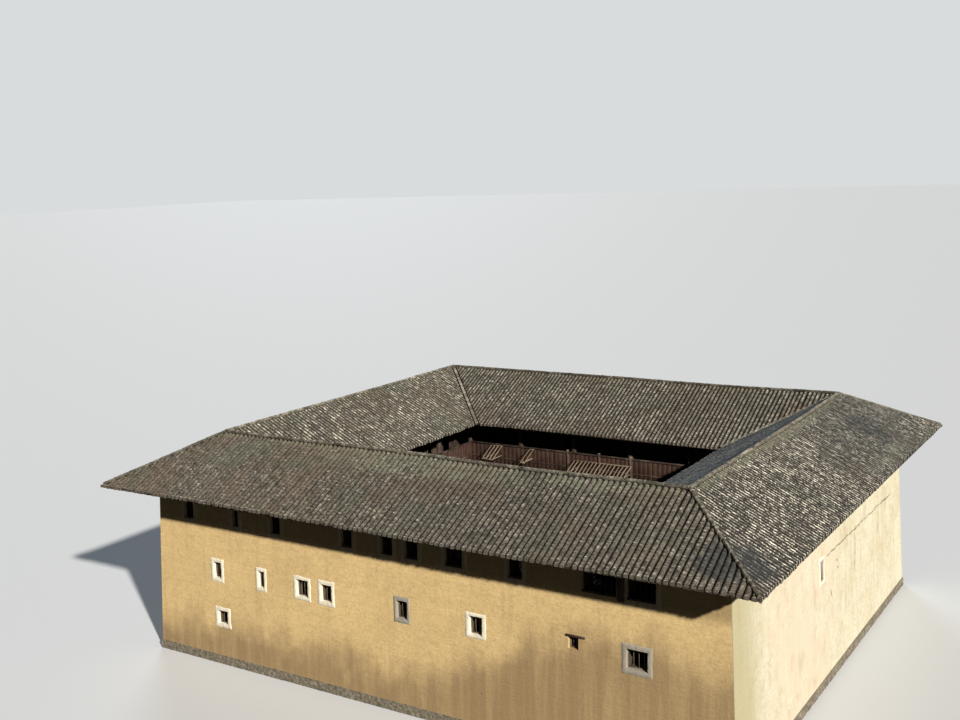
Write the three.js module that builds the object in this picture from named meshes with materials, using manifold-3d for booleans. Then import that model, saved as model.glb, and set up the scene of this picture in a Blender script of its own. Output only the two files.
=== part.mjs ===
// A square tulou: a three-storey rammed earth house round an open courtyard, in millimetres, +Z up.
// The origin is on the ground in the middle of the plan. The long front wall faces -Y, the gate faces +Y.
// Half sizes are measured from the middle of the plan, along X or along Y.

import * as THREE from "three";
import { mergeVertices } from "three/addons/utils/BufferGeometryUtils.js";
import Module from "manifold-3d";

const wasm = await Module();
wasm.setup();

// Roof: a ridge runs round the plan, with one slope falling outwards and one to the courtyard
const RIDGE_HALF_X = 12600;
const RIDGE_HALF_Y = 10370;
const RIDGE_HEIGHT = 11240;
const ROOF_FALL = 0.494;
const OUTER_RUN = 4490;
const INNER_RUN = 4870;
const ROOF_DEPTH = 220;
const CAP_FOOT = 320;
const CAP_CREST = 170;
const CAP_RISE = 130;
const CAP_ROOT = 300;

// Rows of tiles: a groove runs down the slope between each two rows, and places in a row are shares of its width
const OUTER_ROW = 255;
const INNER_ROW = 238;
const ROW_RISE = 75;
const CREST_START = 0.18;
const CREST_END = 0.58;
const GROOVE = 0.88;

// Outer wall: plumb inside, leaning inwards as it rises outside
const WALL_HALF_X = 15150;
const WALL_HALF_Y = 12680;
const WALL_HEAD = 9980;
const WALL_HEAD_THICKNESS = 900;
const BATTER = 0.04;
const INNER_X = WALL_HALF_X - WALL_HEAD_THICKNESS;
const INNER_Y = WALL_HALF_Y - WALL_HEAD_THICKNESS;
const FOOTING_HEIGHT = 450;
const FOOTING_LEDGE = 45;

// Storeys: heights of the top of each floor, and how thick the floors are
const GROUND_LEVEL = 150;
const SECOND_LEVEL = 3465;
const THIRD_LEVEL = 6300;
const FLOOR_DEPTH = 160;
const KERB_X = 8600;
const KERB_Y = 6370;

// Galleries: posts and beams round the courtyard, with the timber room fronts behind them
const ROOM_FACE_X = 10350;
const ROOM_FACE_Y = 8120;
const ROOM_FRONT_DEPTH = 100;
const FRAME_FACE_X = 9010;
const FRAME_FACE_Y = 6780;
const POST = 240;
const BEAM_DEPTH = 350;
const HEAD_PLATE_DEPTH = 240;
const LONG_BAYS = 5;
const SHORT_BAYS = 4;
const DOOR_WIDTH = 900;
const DOOR_HEIGHT = 1950;
const DOOR_SILL = 100;
const LIGHT_WIDTH = 850;
const LIGHT_SILL = 950;
const LIGHT_HEIGHT = 900;
const DOOR_OFFSET = 800;

// Balustrades: boards over the beam and up to a rail, on the courtyard face of the posts
const RAIL_HEIGHT = 1020;
const RAIL_DEPTH = 80;
const RAIL_PROUD = 50;
const BOARD_THICKNESS = 40;
const FASCIA_DROP = 390;
const FASCIA_DEPTH = 100;
const FASCIA_PROUD = 25;

// Gate in the back wall
const GATE_HALF = 850;
const GATE_HEIGHT = 2600;
const JAMB = 260;
const LINTEL_DEPTH = 380;
const SURROUND_PROUD = 60;
const SURROUND_BACK = 12640;
const LEAF_WIDTH = 845;
const LEAF_THICKNESS = 70;
const LEAF_HEIGHT = 2560;
const LEAF_CLEARANCE = 5;

// Eaves: beams out of the head of the wall, and the purlin on them
const EAVE_BEAM_WIDTH = 130;
const EAVE_BEAM_BASE = 8790;
const EAVE_BEAM_TOP = 8960;
const EAVE_PURLIN_RUN = 3800;
const EAVE_PURLIN = 150;
const EAVE_BEAMS_LONG = 11;
const EAVE_BEAMS_SHORT = 9;

// Drying racks: slats that lean out from the back balustrade
const RACKS = [
  { name: "drying_rack_long", x0: -1750, x1: 1950, slats: 16, top: 6870, fall: 450, reach: 980 },
  { name: "drying_rack_middle", x0: -7530, x1: -6700, slats: 4, top: 7230, fall: 600, reach: 1120 },
  { name: "drying_rack_short", x0: -4810, x1: -4480, slats: 2, top: 7230, fall: 560, reach: 1120 },
];
const RACK_RAIL = 50;
const SLAT_WIDTH = 75;
const SLAT_THICKNESS = 30;
const STRUT_INSET = 90;

// Window holes: place of the middle along the wall, and width
const THIRD_SILL = 7190;
const THIRD_HEAD = 8140;
const SECOND_SILL = 4380;
const SECOND_HEAD = 5230;
const SMALL_SILL = 4700;
const SMALL_HEAD = 5220;
const GROUND_SILL = 2070;
const GROUND_HEAD = 2780;
const FRONT_THIRD = [
  [-13165, 690],
  [-9975, 415],
  [-7375, 660],
  [-3035, 670],
  [-760, 695],
  [590, 740],
  [2820, 945],
  [5880, 735],
  [9745, 1525],
  [11580, 1280],
];
const FRONT_SECOND = [
  [-11330, 550],
  [-8400, 425],
  [-5805, 755],
  [-4335, 690],
  [20, 635],
  [3910, 700],
  [11410, 960],
];
const FRONT_SMALL = [[8600, 475]];
const FRONT_GROUND = [[-11080, 700]];
const RIGHT_SECOND = [[-1760, 560]];
const RIGHT_SILL = 5000;
const RIGHT_HEAD = 6040;
const BACK_ROW = [-10950, -7300, -3650, 0, 3650, 7300, 10950];
const LEFT_THIRD = [-8400, -4200, 0, 4200, 8400];
const LEFT_SECOND = [-6300, 0, 6300];
const PLAIN_WINDOW_WIDTH = 670;

// Gap left where one piece is cut to the face of the next
const SEAT_GAP = 0.3;

// Materials
const finish = (color, roughness) => new THREE.MeshStandardMaterial({ color, roughness, metalness: 0 });
const earth = finish(0xd2b37b, 0.95);
const paleEarth = finish(0xe6d9b0, 0.95);
const stone = finish(0x8c8576, 0.9);
const tile = finish(0x6d6658, 0.85);
const capTile = finish(0x77725f, 0.85);
const timber = finish(0x6b4733, 0.8);
const boards = finish(0x7c513f, 0.8);
const gateTimber = finish(0x543726, 0.75);
const weatheredTimber = finish(0x9a8871, 0.85);

// A closed geometry as a solid that can be joined and cut
function solidOf(geometry) {
  const bare = geometry.clone();
  bare.deleteAttribute("normal");
  bare.deleteAttribute("uv");
  const merged = mergeVertices(bare);
  return new wasm.Manifold(
    new wasm.Mesh({
      numProp: 3,
      vertProperties: merged.attributes.position.array,
      triVerts: new Uint32Array(merged.index.array),
    }),
  );
}

// A named mesh from a solid
function meshOf(name, solid, material) {
  const { vertProperties, triVerts } = solid.getMesh();
  const geometry = new THREE.BufferGeometry();
  geometry.setAttribute("position", new THREE.BufferAttribute(vertProperties, 3));
  geometry.setIndex(new THREE.BufferAttribute(triVerts, 1));
  geometry.computeVertexNormals();
  const mesh = new THREE.Mesh(geometry, material);
  mesh.name = name;
  return mesh;
}

// A plain block between two corners
function block([x0, y0, z0], [x1, y1, z1]) {
  const box = new THREE.BoxGeometry(x1 - x0, y1 - y0, z1 - z0);
  box.translate((x0 + x1) / 2, (y0 + y1) / 2, (z0 + z1) / 2);
  return solidOf(box);
}

// A block with six flat faces from four lower and four upper corners, each anticlockwise from above
function sixSided(lower, upper) {
  const geometry = new THREE.BufferGeometry();
  const corners = new Float32Array([...lower, ...upper].flat());
  geometry.setAttribute("position", new THREE.BufferAttribute(corners, 3));
  const quads = [[0, 3, 2, 1], [4, 5, 6, 7], [0, 1, 5, 4], [1, 2, 6, 5], [2, 3, 7, 6], [3, 0, 4, 7]];
  geometry.setIndex(quads.flatMap(([a, b, c, d]) => [a, b, c, a, c, d]));
  return solidOf(geometry);
}

// Four corners of a rectangle at one height, anticlockwise from above
function rectangle([x0, y0], [x1, y1], z) {
  return [[x0, y0, z], [x1, y0, z], [x1, y1, z], [x0, y1, z]];
}

// A block centred on the plan whose half sizes change from its foot to its head
function frustum(lowX, lowY, z0, highX, highY, z1) {
  return sixSided(rectangle([-lowX, -lowY], [lowX, lowY], z0), rectangle([-highX, -highY], [highX, highY], z1));
}

// A rectangular ring with plumb sides
function ring(outerX, outerY, innerX, innerY, z0, z1) {
  const outline = new THREE.Shape();
  outline.moveTo(-outerX, -outerY).lineTo(outerX, -outerY).lineTo(outerX, outerY).lineTo(-outerX, outerY);
  const hole = new THREE.Path();
  hole.moveTo(-innerX, -innerY).lineTo(-innerX, innerY).lineTo(innerX, innerY).lineTo(innerX, -innerY);
  outline.holes.push(hole);
  const slab = new THREE.ExtrudeGeometry(outline, { depth: z1 - z0, bevelEnabled: false });
  slab.translate(0, 0, z0);
  return solidOf(slab);
}

function joined(solids) {
  return solids.reduce((sum, one) => sum.add(one));
}

function cut(solid, holes) {
  return holes.reduce((rest, hole) => rest.subtract(hole), solid);
}

// Half sizes of the outer face of the wall at a height
const wallX = (z) => WALL_HALF_X + BATTER * (WALL_HEAD - z);
const wallY = (z) => WALL_HALF_Y + BATTER * (WALL_HEAD - z);

// The space below the outer slopes, and the space above the inner slopes, moved down by a drop.
// Both run on past the ridge, so that they cross there.
const RIDGE_OVERRUN = 1000;

function underOuterSlopes(drop) {
  const top = RIDGE_HEIGHT - drop;
  const spread = top / ROOF_FALL;
  return frustum(
    RIDGE_HALF_X + spread,
    RIDGE_HALF_Y + spread,
    0,
    RIDGE_HALF_X - RIDGE_OVERRUN,
    RIDGE_HALF_Y - RIDGE_OVERRUN,
    top + RIDGE_OVERRUN * ROOF_FALL,
  );
}

function aboveInnerSlopes(drop) {
  const top = RIDGE_HEIGHT - drop;
  const shrink = RIDGE_HALF_Y - KERB_Y / 2;
  return frustum(
    RIDGE_HALF_X - shrink,
    RIDGE_HALF_Y - shrink,
    top - shrink * ROOF_FALL,
    RIDGE_HALF_X + RIDGE_OVERRUN,
    RIDGE_HALF_Y + RIDGE_OVERRUN,
    top + RIDGE_OVERRUN * ROOF_FALL,
  );
}

const belowOuterRoof = underOuterSlopes(ROOF_DEPTH + SEAT_GAP);
const aboveInnerRoof = aboveInnerSlopes(ROOF_DEPTH + SEAT_GAP);

// Holes through a wall that runs along X, on one side of the plan
function holesAlongX(windows, sill, head, side) {
  const reach = [side * (INNER_Y - 500), side * (wallY(0) + 500)].sort((a, b) => a - b);
  return windows.map(([at, width]) => block([at - width / 2, reach[0], sill], [at + width / 2, reach[1], head]));
}

// Holes through a wall that runs along Y, on one side of the plan
function holesAlongY(windows, sill, head, side) {
  const reach = [side * (INNER_X - 500), side * (wallX(0) + 500)].sort((a, b) => a - b);
  return windows.map(([at, width]) => block([reach[0], at - width / 2, sill], [reach[1], at + width / 2, head]));
}

const plainWindows = (places) => places.map((at) => [at, PLAIN_WINDOW_WIDTH]);

// One height of the front or back wall, over its whole length or between two plumb ends
function longWall(side, z0, z1, from = -Infinity, to = Infinity) {
  const face = (z) => {
    const x0 = Math.max(from, -wallX(z));
    const x1 = Math.min(to, wallX(z));
    return side < 0
      ? rectangle([x0, -wallY(z)], [x1, -INNER_Y], z)
      : rectangle([x0, INNER_Y], [x1, wallY(z)], z);
  };
  return sixSided(face(z0), face(z1)).intersect(belowOuterRoof);
}

function sideWall(side) {
  const face = (z) =>
    side < 0
      ? rectangle([-wallX(z), -INNER_Y], [-INNER_X, INNER_Y], z)
      : rectangle([INNER_X, -INNER_Y], [wallX(z), INNER_Y], z);
  return sixSided(face(FOOTING_HEIGHT), face(RIDGE_HEIGHT)).intersect(belowOuterRoof);
}

function outerWalls() {
  const jambOut = GATE_HALF + JAMB;
  const lintelTop = GROUND_LEVEL + GATE_HEIGHT + LINTEL_DEPTH;
  const backHoles = [
    ...holesAlongX(plainWindows(BACK_ROW), THIRD_SILL, THIRD_HEAD, 1),
    ...holesAlongX(plainWindows(BACK_ROW), SECOND_SILL, SECOND_HEAD, 1),
  ];
  const pieces = {
    front_wall_ground: cut(
      longWall(-1, FOOTING_HEIGHT, SECOND_LEVEL),
      holesAlongX(FRONT_GROUND, GROUND_SILL, GROUND_HEAD, -1),
    ),
    front_wall_second: cut(longWall(-1, SECOND_LEVEL, THIRD_LEVEL), [
      ...holesAlongX(FRONT_SECOND, SECOND_SILL, SECOND_HEAD, -1),
      ...holesAlongX(FRONT_SMALL, SMALL_SILL, SMALL_HEAD, -1),
    ]),
    front_wall_third: cut(
      longWall(-1, THIRD_LEVEL, RIDGE_HEIGHT),
      holesAlongX(FRONT_THIRD, THIRD_SILL, THIRD_HEAD, -1),
    ),
    back_wall_left: cut(longWall(1, FOOTING_HEIGHT, RIDGE_HEIGHT, -Infinity, -jambOut), backHoles),
    back_wall_right: cut(longWall(1, FOOTING_HEIGHT, RIDGE_HEIGHT, jambOut, Infinity), backHoles),
    back_wall_over_gate: cut(longWall(1, lintelTop, RIDGE_HEIGHT, -jambOut, jambOut), backHoles),
    left_wall: cut(sideWall(-1), [
      ...holesAlongY(plainWindows(LEFT_THIRD), THIRD_SILL, THIRD_HEAD, -1),
      ...holesAlongY(plainWindows(LEFT_SECOND), SECOND_SILL, SECOND_HEAD, -1),
    ]),
  };
  const meshes = Object.entries(pieces).map(([name, solid]) => meshOf(name, solid, earth));
  const right = cut(sideWall(1), holesAlongY(RIGHT_SECOND, RIGHT_SILL, RIGHT_HEAD, 1));
  return [...meshes, meshOf("right_wall", right, paleEarth)];
}

// The stone base of the walls, lowered to the threshold in the gate
function footing() {
  const whole = frustum(
    wallX(0) + FOOTING_LEDGE,
    wallY(0) + FOOTING_LEDGE,
    0,
    wallX(FOOTING_HEIGHT) + FOOTING_LEDGE,
    wallY(FOOTING_HEIGHT) + FOOTING_LEDGE,
    FOOTING_HEIGHT,
  );
  const inside = block([-INNER_X, -INNER_Y, -1], [INNER_X, INNER_Y, FOOTING_HEIGHT + 1]);
  const gateway = block(
    [-GATE_HALF - JAMB, INNER_Y - 1, GROUND_LEVEL],
    [GATE_HALF + JAMB, wallY(0) + FOOTING_LEDGE + 1, FOOTING_HEIGHT + 1],
  );
  return meshOf("stone_footing", cut(whole, [inside, gateway]), stone);
}

// The stone frame of the gate: two jambs on the threshold and a lintel, one opening cut through
function gateSurround() {
  const top = GROUND_LEVEL + GATE_HEIGHT + LINTEL_DEPTH;
  const out = GATE_HALF + JAMB;
  const face = (z) => rectangle([-out, SURROUND_BACK], [out, wallY(z) + SURROUND_PROUD], z);
  const opening = block(
    [-GATE_HALF, SURROUND_BACK - 1, GROUND_LEVEL - 1],
    [GATE_HALF, wallY(0) + SURROUND_PROUD + 1, GROUND_LEVEL + GATE_HEIGHT],
  );
  const onThreshold = sixSided(face(GROUND_LEVEL), face(top));
  const overhang = block([-out, wallY(0) + FOOTING_LEDGE, 0], [out, wallY(0) + SURROUND_PROUD + 1, top]);
  return meshOf("gate_surround", cut(onThreshold, [opening, overhang]), stone);
}

// A gate leaf folded back against the side of the passage
function gateLeaf(name, side) {
  const outer = GATE_HALF + JAMB - LEAF_CLEARANCE;
  const [x0, x1] = [side * outer, side * (outer - LEAF_THICKNESS)].sort((a, b) => a - b);
  const back = SURROUND_BACK - LEAF_CLEARANCE;
  const leaf = block([x0, back - LEAF_WIDTH, GROUND_LEVEL], [x1, back, GROUND_LEVEL + LEAF_HEIGHT]);
  return meshOf(name, leaf, gateTimber);
}

function floors() {
  const roomBackX = ROOM_FACE_X + ROOM_FRONT_DEPTH;
  const roomBackY = ROOM_FACE_Y + ROOM_FRONT_DEPTH;
  const roomFloor = (level) => ring(INNER_X, INNER_Y, roomBackX, roomBackY, level - FLOOR_DEPTH, level);
  const deck = (level) =>
    ring(ROOM_FACE_X, ROOM_FACE_Y, FRAME_FACE_X + POST, FRAME_FACE_Y + POST, level - FLOOR_DEPTH, level);
  return [
    meshOf("ground_floor", ring(INNER_X, INNER_Y, KERB_X, KERB_Y, 0, GROUND_LEVEL), stone),
    meshOf("second_floor", roomFloor(SECOND_LEVEL), timber),
    meshOf("third_floor", roomFloor(THIRD_LEVEL), timber),
    meshOf("second_gallery_deck", deck(SECOND_LEVEL), timber),
    meshOf("third_gallery_deck", deck(THIRD_LEVEL), timber),
  ];
}

// Middles of equal bays between the centres of the corner posts
function bayMiddles(cornerCentre, bays) {
  const pitch = (2 * cornerCentre) / bays;
  return Array.from({ length: bays }, (_, i) => -cornerCentre + pitch * (i + 0.5));
}

// Doors and lights of a room front: one of each in every bay of every storey
function roomHoles(along, from, to, middles) {
  const hole = (at, width, z0, z1) =>
    along === "x"
      ? block([at - width / 2, from, z0], [at + width / 2, to, z1])
      : block([from, at - width / 2, z0], [to, at + width / 2, z1]);
  return [GROUND_LEVEL, SECOND_LEVEL, THIRD_LEVEL].flatMap((level) =>
    middles.flatMap((middle) => {
      const doorFoot = level + DOOR_SILL;
      const lightFoot = level + LIGHT_SILL;
      return [
        hole(middle - DOOR_OFFSET, DOOR_WIDTH, doorFoot, doorFoot + DOOR_HEIGHT),
        hole(middle + DOOR_OFFSET, LIGHT_WIDTH, lightFoot, lightFoot + LIGHT_HEIGHT),
      ];
    }),
  );
}

function roomFronts() {
  const backX = ROOM_FACE_X + ROOM_FRONT_DEPTH;
  const backY = ROOM_FACE_Y + ROOM_FRONT_DEPTH;
  const longMiddles = bayMiddles(FRAME_FACE_X + POST / 2, LONG_BAYS);
  const shortMiddles = bayMiddles(FRAME_FACE_Y + POST / 2, SHORT_BAYS);
  const longPiece = (name, side) => {
    const [y0, y1] = [side * ROOM_FACE_Y, side * backY].sort((a, b) => a - b);
    const sheet = block([-backX, y0, GROUND_LEVEL], [backX, y1, RIDGE_HEIGHT]);
    const holes = roomHoles("x", y0 - 1, y1 + 1, longMiddles);
    return meshOf(name, cut(sheet, [aboveInnerRoof, ...holes]), timber);
  };
  const shortPiece = (name, side) => {
    const [x0, x1] = [side * ROOM_FACE_X, side * backX].sort((a, b) => a - b);
    const sheet = block([x0, -ROOM_FACE_Y, GROUND_LEVEL], [x1, ROOM_FACE_Y, RIDGE_HEIGHT]);
    const holes = roomHoles("y", x0 - 1, x1 + 1, shortMiddles);
    return meshOf(name, cut(sheet, [aboveInnerRoof, ...holes]), timber);
  };
  return [
    longPiece("room_front_front", -1),
    longPiece("room_front_back", 1),
    shortPiece("room_front_left", -1),
    shortPiece("room_front_right", 1),
  ];
}

// Posts and beams along each side of the courtyard; the left and right frames hold the corner posts
function galleryFrames() {
  const plateFoot = (face, ridge) =>
    RIDGE_HEIGHT - ROOF_DEPTH - (ridge - face) * ROOF_FALL - HEAD_PLATE_DEPTH;
  const beamHeights = (face, ridge) => [
    [SECOND_LEVEL - BEAM_DEPTH, SECOND_LEVEL],
    [THIRD_LEVEL - BEAM_DEPTH, THIRD_LEVEL],
    [plateFoot(face, ridge), RIDGE_HEIGHT],
  ];
  const postPlaces = (corner, bays) => Array.from({ length: bays + 1 }, (_, i) => -corner + (i * 2 * corner) / bays);
  const longFrame = (name, side) => {
    const [y0, y1] = [side * FRAME_FACE_Y, side * (FRAME_FACE_Y + POST)].sort((a, b) => a - b);
    const beams = beamHeights(FRAME_FACE_Y, RIDGE_HALF_Y).map(([z0, z1]) =>
      block([-FRAME_FACE_X, y0, z0], [FRAME_FACE_X, y1, z1]),
    );
    const between = postPlaces(FRAME_FACE_X + POST / 2, LONG_BAYS).slice(1, -1);
    const posts = between.map((x) => block([x - POST / 2, y0, GROUND_LEVEL], [x + POST / 2, y1, RIDGE_HEIGHT]));
    return meshOf(name, joined([...posts, ...beams]).subtract(aboveInnerRoof), timber);
  };
  const shortFrame = (name, side) => {
    const [x0, x1] = [side * FRAME_FACE_X, side * (FRAME_FACE_X + POST)].sort((a, b) => a - b);
    const beams = beamHeights(FRAME_FACE_X, RIDGE_HALF_X).map(([z0, z1]) =>
      block([x0, -FRAME_FACE_Y, z0], [x1, FRAME_FACE_Y, z1]),
    );
    const places = postPlaces(FRAME_FACE_Y + POST / 2, SHORT_BAYS);
    const posts = places.map((y) => block([x0, y - POST / 2, GROUND_LEVEL], [x1, y + POST / 2, RIDGE_HEIGHT]));
    return meshOf(name, joined([...posts, ...beams]).subtract(aboveInnerRoof), timber);
  };
  return [
    longFrame("gallery_frame_front", -1),
    longFrame("gallery_frame_back", 1),
    shortFrame("gallery_frame_left", -1),
    shortFrame("gallery_frame_right", 1),
  ];
}

// A ring of boards with a rail on top and a fascia strip below
function balustrade(name, level) {
  const top = level + RAIL_HEIGHT;
  const foot = level - FASCIA_DROP;
  const strip = (depth, z0, z1) =>
    ring(FRAME_FACE_X, FRAME_FACE_Y, FRAME_FACE_X - depth, FRAME_FACE_Y - depth, z0, z1);
  const panels = strip(BOARD_THICKNESS, foot, top);
  const rail = strip(BOARD_THICKNESS + RAIL_PROUD, top - RAIL_DEPTH, top);
  const fascia = strip(BOARD_THICKNESS + FASCIA_PROUD, foot, foot + FASCIA_DEPTH);
  return meshOf(name, joined([panels, rail, fascia]), boards);
}

// A rack on the back balustrade: top rail, leaning slats, lower rail and struts back to the boards
function dryingRack({ name, x0, x1, slats, top, fall, reach }) {
  const wallFace = FRAME_FACE_Y - BOARD_THICKNESS;
  const topBack = wallFace - RACK_RAIL;
  const lowTop = top - fall;
  const lowBack = topBack - reach;
  const rails = [
    block([x0, topBack, top - RACK_RAIL], [x1, wallFace, top]),
    block([x0, lowBack, lowTop - RACK_RAIL], [x1, lowBack + RACK_RAIL, lowTop]),
  ];
  const pitch = (x1 - x0 - SLAT_WIDTH) / (slats - 1);
  const leaning = Array.from({ length: slats }, (_, i) => {
    const left = x0 + i * pitch;
    const right = left + SLAT_WIDTH;
    return sixSided(
      rectangle([left, lowBack], [right, lowBack + SLAT_THICKNESS], lowTop - RACK_RAIL / 2),
      rectangle([left, topBack], [right, topBack + SLAT_THICKNESS], top - RACK_RAIL / 2),
    );
  });
  const struts = [x0 + STRUT_INSET, x1 - STRUT_INSET - RACK_RAIL].map((x) =>
    block([x, lowBack, lowTop - RACK_RAIL], [x + RACK_RAIL, wallFace, lowTop]),
  );
  return meshOf(name, joined([...rails, ...leaning, ...struts]), weatheredTimber);
}

// Cross section of a slope along its ridge: flat below, with the rows of tiles on top.
// It is drawn along the side, or against it where turn is -1, and runs one row past both ends.
function rowSection(reach, pitch, turn) {
  const rows = Math.round((2 * reach) / pitch);
  const width = (2 * reach) / rows;
  const top = [];
  for (let row = -1; row <= rows; row++) {
    const at = (share) => turn * ((row + share) * width - reach);
    top.push([at(CREST_START), 0], [at(CREST_END), 0], [at(GROOVE), -ROW_RISE]);
  }
  const base = [top.at(-1), top[0]].map(([along]) => [along, -ROOF_DEPTH]);
  return new THREE.Shape([...top, ...base].map(([along, height]) => new THREE.Vector2(along, height)));
}

// A line along X or along Y with both ends drawn in by the seat gap
function drawnIn([[x0, y0], [x1, y1]]) {
  const dx = Math.sign(x1 - x0) * SEAT_GAP;
  const dy = Math.sign(y1 - y0) * SEAT_GAP;
  return [[x0 + dx, y0 + dy], [x1 - dx, y1 - dy]];
}

// A roof slope: the section carried down the slope, then cut plumb along ridge, mitres and eave.
// The ridge line and the eave line both run anticlockwise round the plan, and outwards is 1 or -1.
function slope(name, ridge, eave, outwards) {
  const [run, pitch, longest] = outwards > 0 ? [OUTER_RUN, OUTER_ROW, eave] : [INNER_RUN, INNER_ROW, ridge];
  const [start, end] = ridge.map(([x, y]) => new THREE.Vector3(x, y, RIDGE_HEIGHT));
  const [from, to] = longest.map(([x, y]) => new THREE.Vector2(x, y));
  const along = end.clone().sub(start).normalize().multiplyScalar(outwards);
  const down = new THREE.Vector3(along.y, -along.x, -ROOF_FALL);
  const section = rowSection(from.distanceTo(to) / 2, pitch, outwards);
  const body = new THREE.ExtrudeGeometry(section, { depth: run + 2 * pitch, bevelEnabled: false });
  body.translate(0, 0, -pitch);
  const middle = new THREE.Vector3().lerpVectors(start, end, 0.5);
  const upright = new THREE.Vector3(0, 0, 1);
  body.applyMatrix4(new THREE.Matrix4().makeBasis(along, upright, down).setPosition(middle));
  const [top, foot] = [drawnIn(ridge), drawnIn(eave)];
  const corners = outwards > 0 ? [...top.reverse(), ...foot] : [...top, ...foot.reverse()];
  const at = (height) => corners.map(([x, y]) => [x, y, height]);
  return meshOf(name, solidOf(body).intersect(sixSided(at(0), at(2 * RIDGE_HEIGHT))), tile);
}

// Corners of a rectangle by name of the side that they bound, anticlockwise from the front left
function sideLines(halfX, halfY) {
  const corners = [[-halfX, -halfY], [halfX, -halfY], [halfX, halfY], [-halfX, halfY]];
  const line = (i) => [corners[i], corners[(i + 1) % 4]];
  return { front: line(0), right: line(1), back: line(2), left: line(3) };
}

function slopes() {
  const ridge = sideLines(RIDGE_HALF_X, RIDGE_HALF_Y);
  const outer = sideLines(RIDGE_HALF_X + OUTER_RUN, RIDGE_HALF_Y + OUTER_RUN);
  const inner = sideLines(RIDGE_HALF_X - INNER_RUN, RIDGE_HALF_Y - INNER_RUN);
  return ["front", "right", "back", "left"].flatMap((side) => [
    slope("roof_outer_" + side, ridge[side], outer[side], 1),
    slope("roof_inner_" + side, ridge[side], inner[side], -1),
  ]);
}

// The tile caps: a tapered band round the ridge and one down each hip, seated on the slopes
function ridgeAndHips() {
  const crown = RIDGE_HEIGHT + CAP_RISE;
  const root = RIDGE_HEIGHT - CAP_ROOT;
  const flare = ((CAP_FOOT - CAP_CREST) / 2) * (CAP_ROOT / CAP_RISE + 1);
  const wide = CAP_CREST / 2 + flare;
  const narrow = CAP_CREST / 2;
  const outer = frustum(
    RIDGE_HALF_X + wide, RIDGE_HALF_Y + wide, root,
    RIDGE_HALF_X + narrow, RIDGE_HALF_Y + narrow, crown,
  );
  const hollow = frustum(
    RIDGE_HALF_X - wide, RIDGE_HALF_Y - wide, root,
    RIDGE_HALF_X - narrow, RIDGE_HALF_Y - narrow, crown,
  );
  const band = outer.subtract(hollow);
  const hips = [[1, -1], [1, 1], [-1, 1], [-1, -1]].map(([sx, sy]) => hipBar(sx, sy, wide, narrow));
  const eaves = block(
    [-RIDGE_HALF_X - OUTER_RUN, -RIDGE_HALF_Y - OUTER_RUN, 0],
    [RIDGE_HALF_X + OUTER_RUN, RIDGE_HALF_Y + OUTER_RUN, crown],
  );
  const roof = underOuterSlopes(-SEAT_GAP).subtract(aboveInnerSlopes(-SEAT_GAP));
  const caps = joined([band, ...hips]).intersect(eaves).subtract(roof);
  return meshOf("ridge_and_hips", caps, capTile);
}

// One bar of tapered section along a hip, from inside the ridge corner to past the eave corner
function hipBar(sx, sy, wide, narrow) {
  const overrun = 400;
  const section = (run) => {
    const x = sx * (RIDGE_HALF_X + run);
    const y = sy * (RIDGE_HALF_Y + run);
    const z = RIDGE_HEIGHT - run * ROOF_FALL;
    const across = (w) => [(sx * w) / Math.SQRT2, (-sy * w) / Math.SQRT2];
    const [lx, ly] = across(wide);
    const [hx, hy] = across(narrow);
    return {
      low: [[x - lx, y - ly, z - CAP_ROOT], [x + lx, y + ly, z - CAP_ROOT]],
      high: [[x - hx, y - hy, z + CAP_RISE], [x + hx, y + hy, z + CAP_RISE]],
    };
  };
  const start = section(0);
  const end = section(OUTER_RUN + overrun);
  const bar = (a, b) => [a[0], b[0], b[1], a[1]];
  const [lower, upper] = [bar(start.low, end.low), bar(start.high, end.high)];
  return sx * sy > 0 ? sixSided(lower.reverse(), upper.reverse()) : sixSided(lower, upper);
}

// Beams through the head of one wall and the purlin that they carry under the eave
function eaveFrames() {
  const purlinX = RIDGE_HALF_X + EAVE_PURLIN_RUN;
  const purlinY = RIDGE_HALF_Y + EAVE_PURLIN_RUN;
  const half = EAVE_PURLIN / 2;
  const beamEnd = EAVE_PURLIN;
  const places = (reach, count) =>
    Array.from({ length: count }, (_, i) => -reach + (i * 2 * reach) / (count - 1));
  const longPiece = (name, side) => {
    const purlin = block(
      [-purlinX - half, side * purlinY - half, EAVE_BEAM_TOP],
      [purlinX + half, side * purlinY + half, RIDGE_HEIGHT],
    );
    const beams = places(WALL_HALF_X - POST, EAVE_BEAMS_LONG).map((x) => {
      const foot = (z) => {
        const [y0, y1] = [side * (wallY(z) + SEAT_GAP), side * (purlinY + beamEnd)].sort((a, b) => a - b);
        return rectangle([x - EAVE_BEAM_WIDTH / 2, y0], [x + EAVE_BEAM_WIDTH / 2, y1], z);
      };
      return sixSided(foot(EAVE_BEAM_BASE), foot(EAVE_BEAM_TOP));
    });
    return meshOf(name, joined([purlin, ...beams]).intersect(belowOuterRoof), timber);
  };
  const shortPiece = (name, side) => {
    const purlin = block(
      [side * purlinX - half, -purlinY + half, EAVE_BEAM_TOP],
      [side * purlinX + half, purlinY - half, RIDGE_HEIGHT],
    );
    const beams = places(WALL_HALF_Y - POST, EAVE_BEAMS_SHORT).map((y) => {
      const foot = (z) => {
        const [x0, x1] = [side * (wallX(z) + SEAT_GAP), side * (purlinX + beamEnd)].sort((a, b) => a - b);
        return rectangle([x0, y - EAVE_BEAM_WIDTH / 2], [x1, y + EAVE_BEAM_WIDTH / 2], z);
      };
      return sixSided(foot(EAVE_BEAM_BASE), foot(EAVE_BEAM_TOP));
    });
    return meshOf(name, joined([purlin, ...beams]).intersect(belowOuterRoof), timber);
  };
  return [
    longPiece("eave_frame_front", -1),
    longPiece("eave_frame_back", 1),
    shortPiece("eave_frame_left", -1),
    shortPiece("eave_frame_right", 1),
  ];
}

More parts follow.
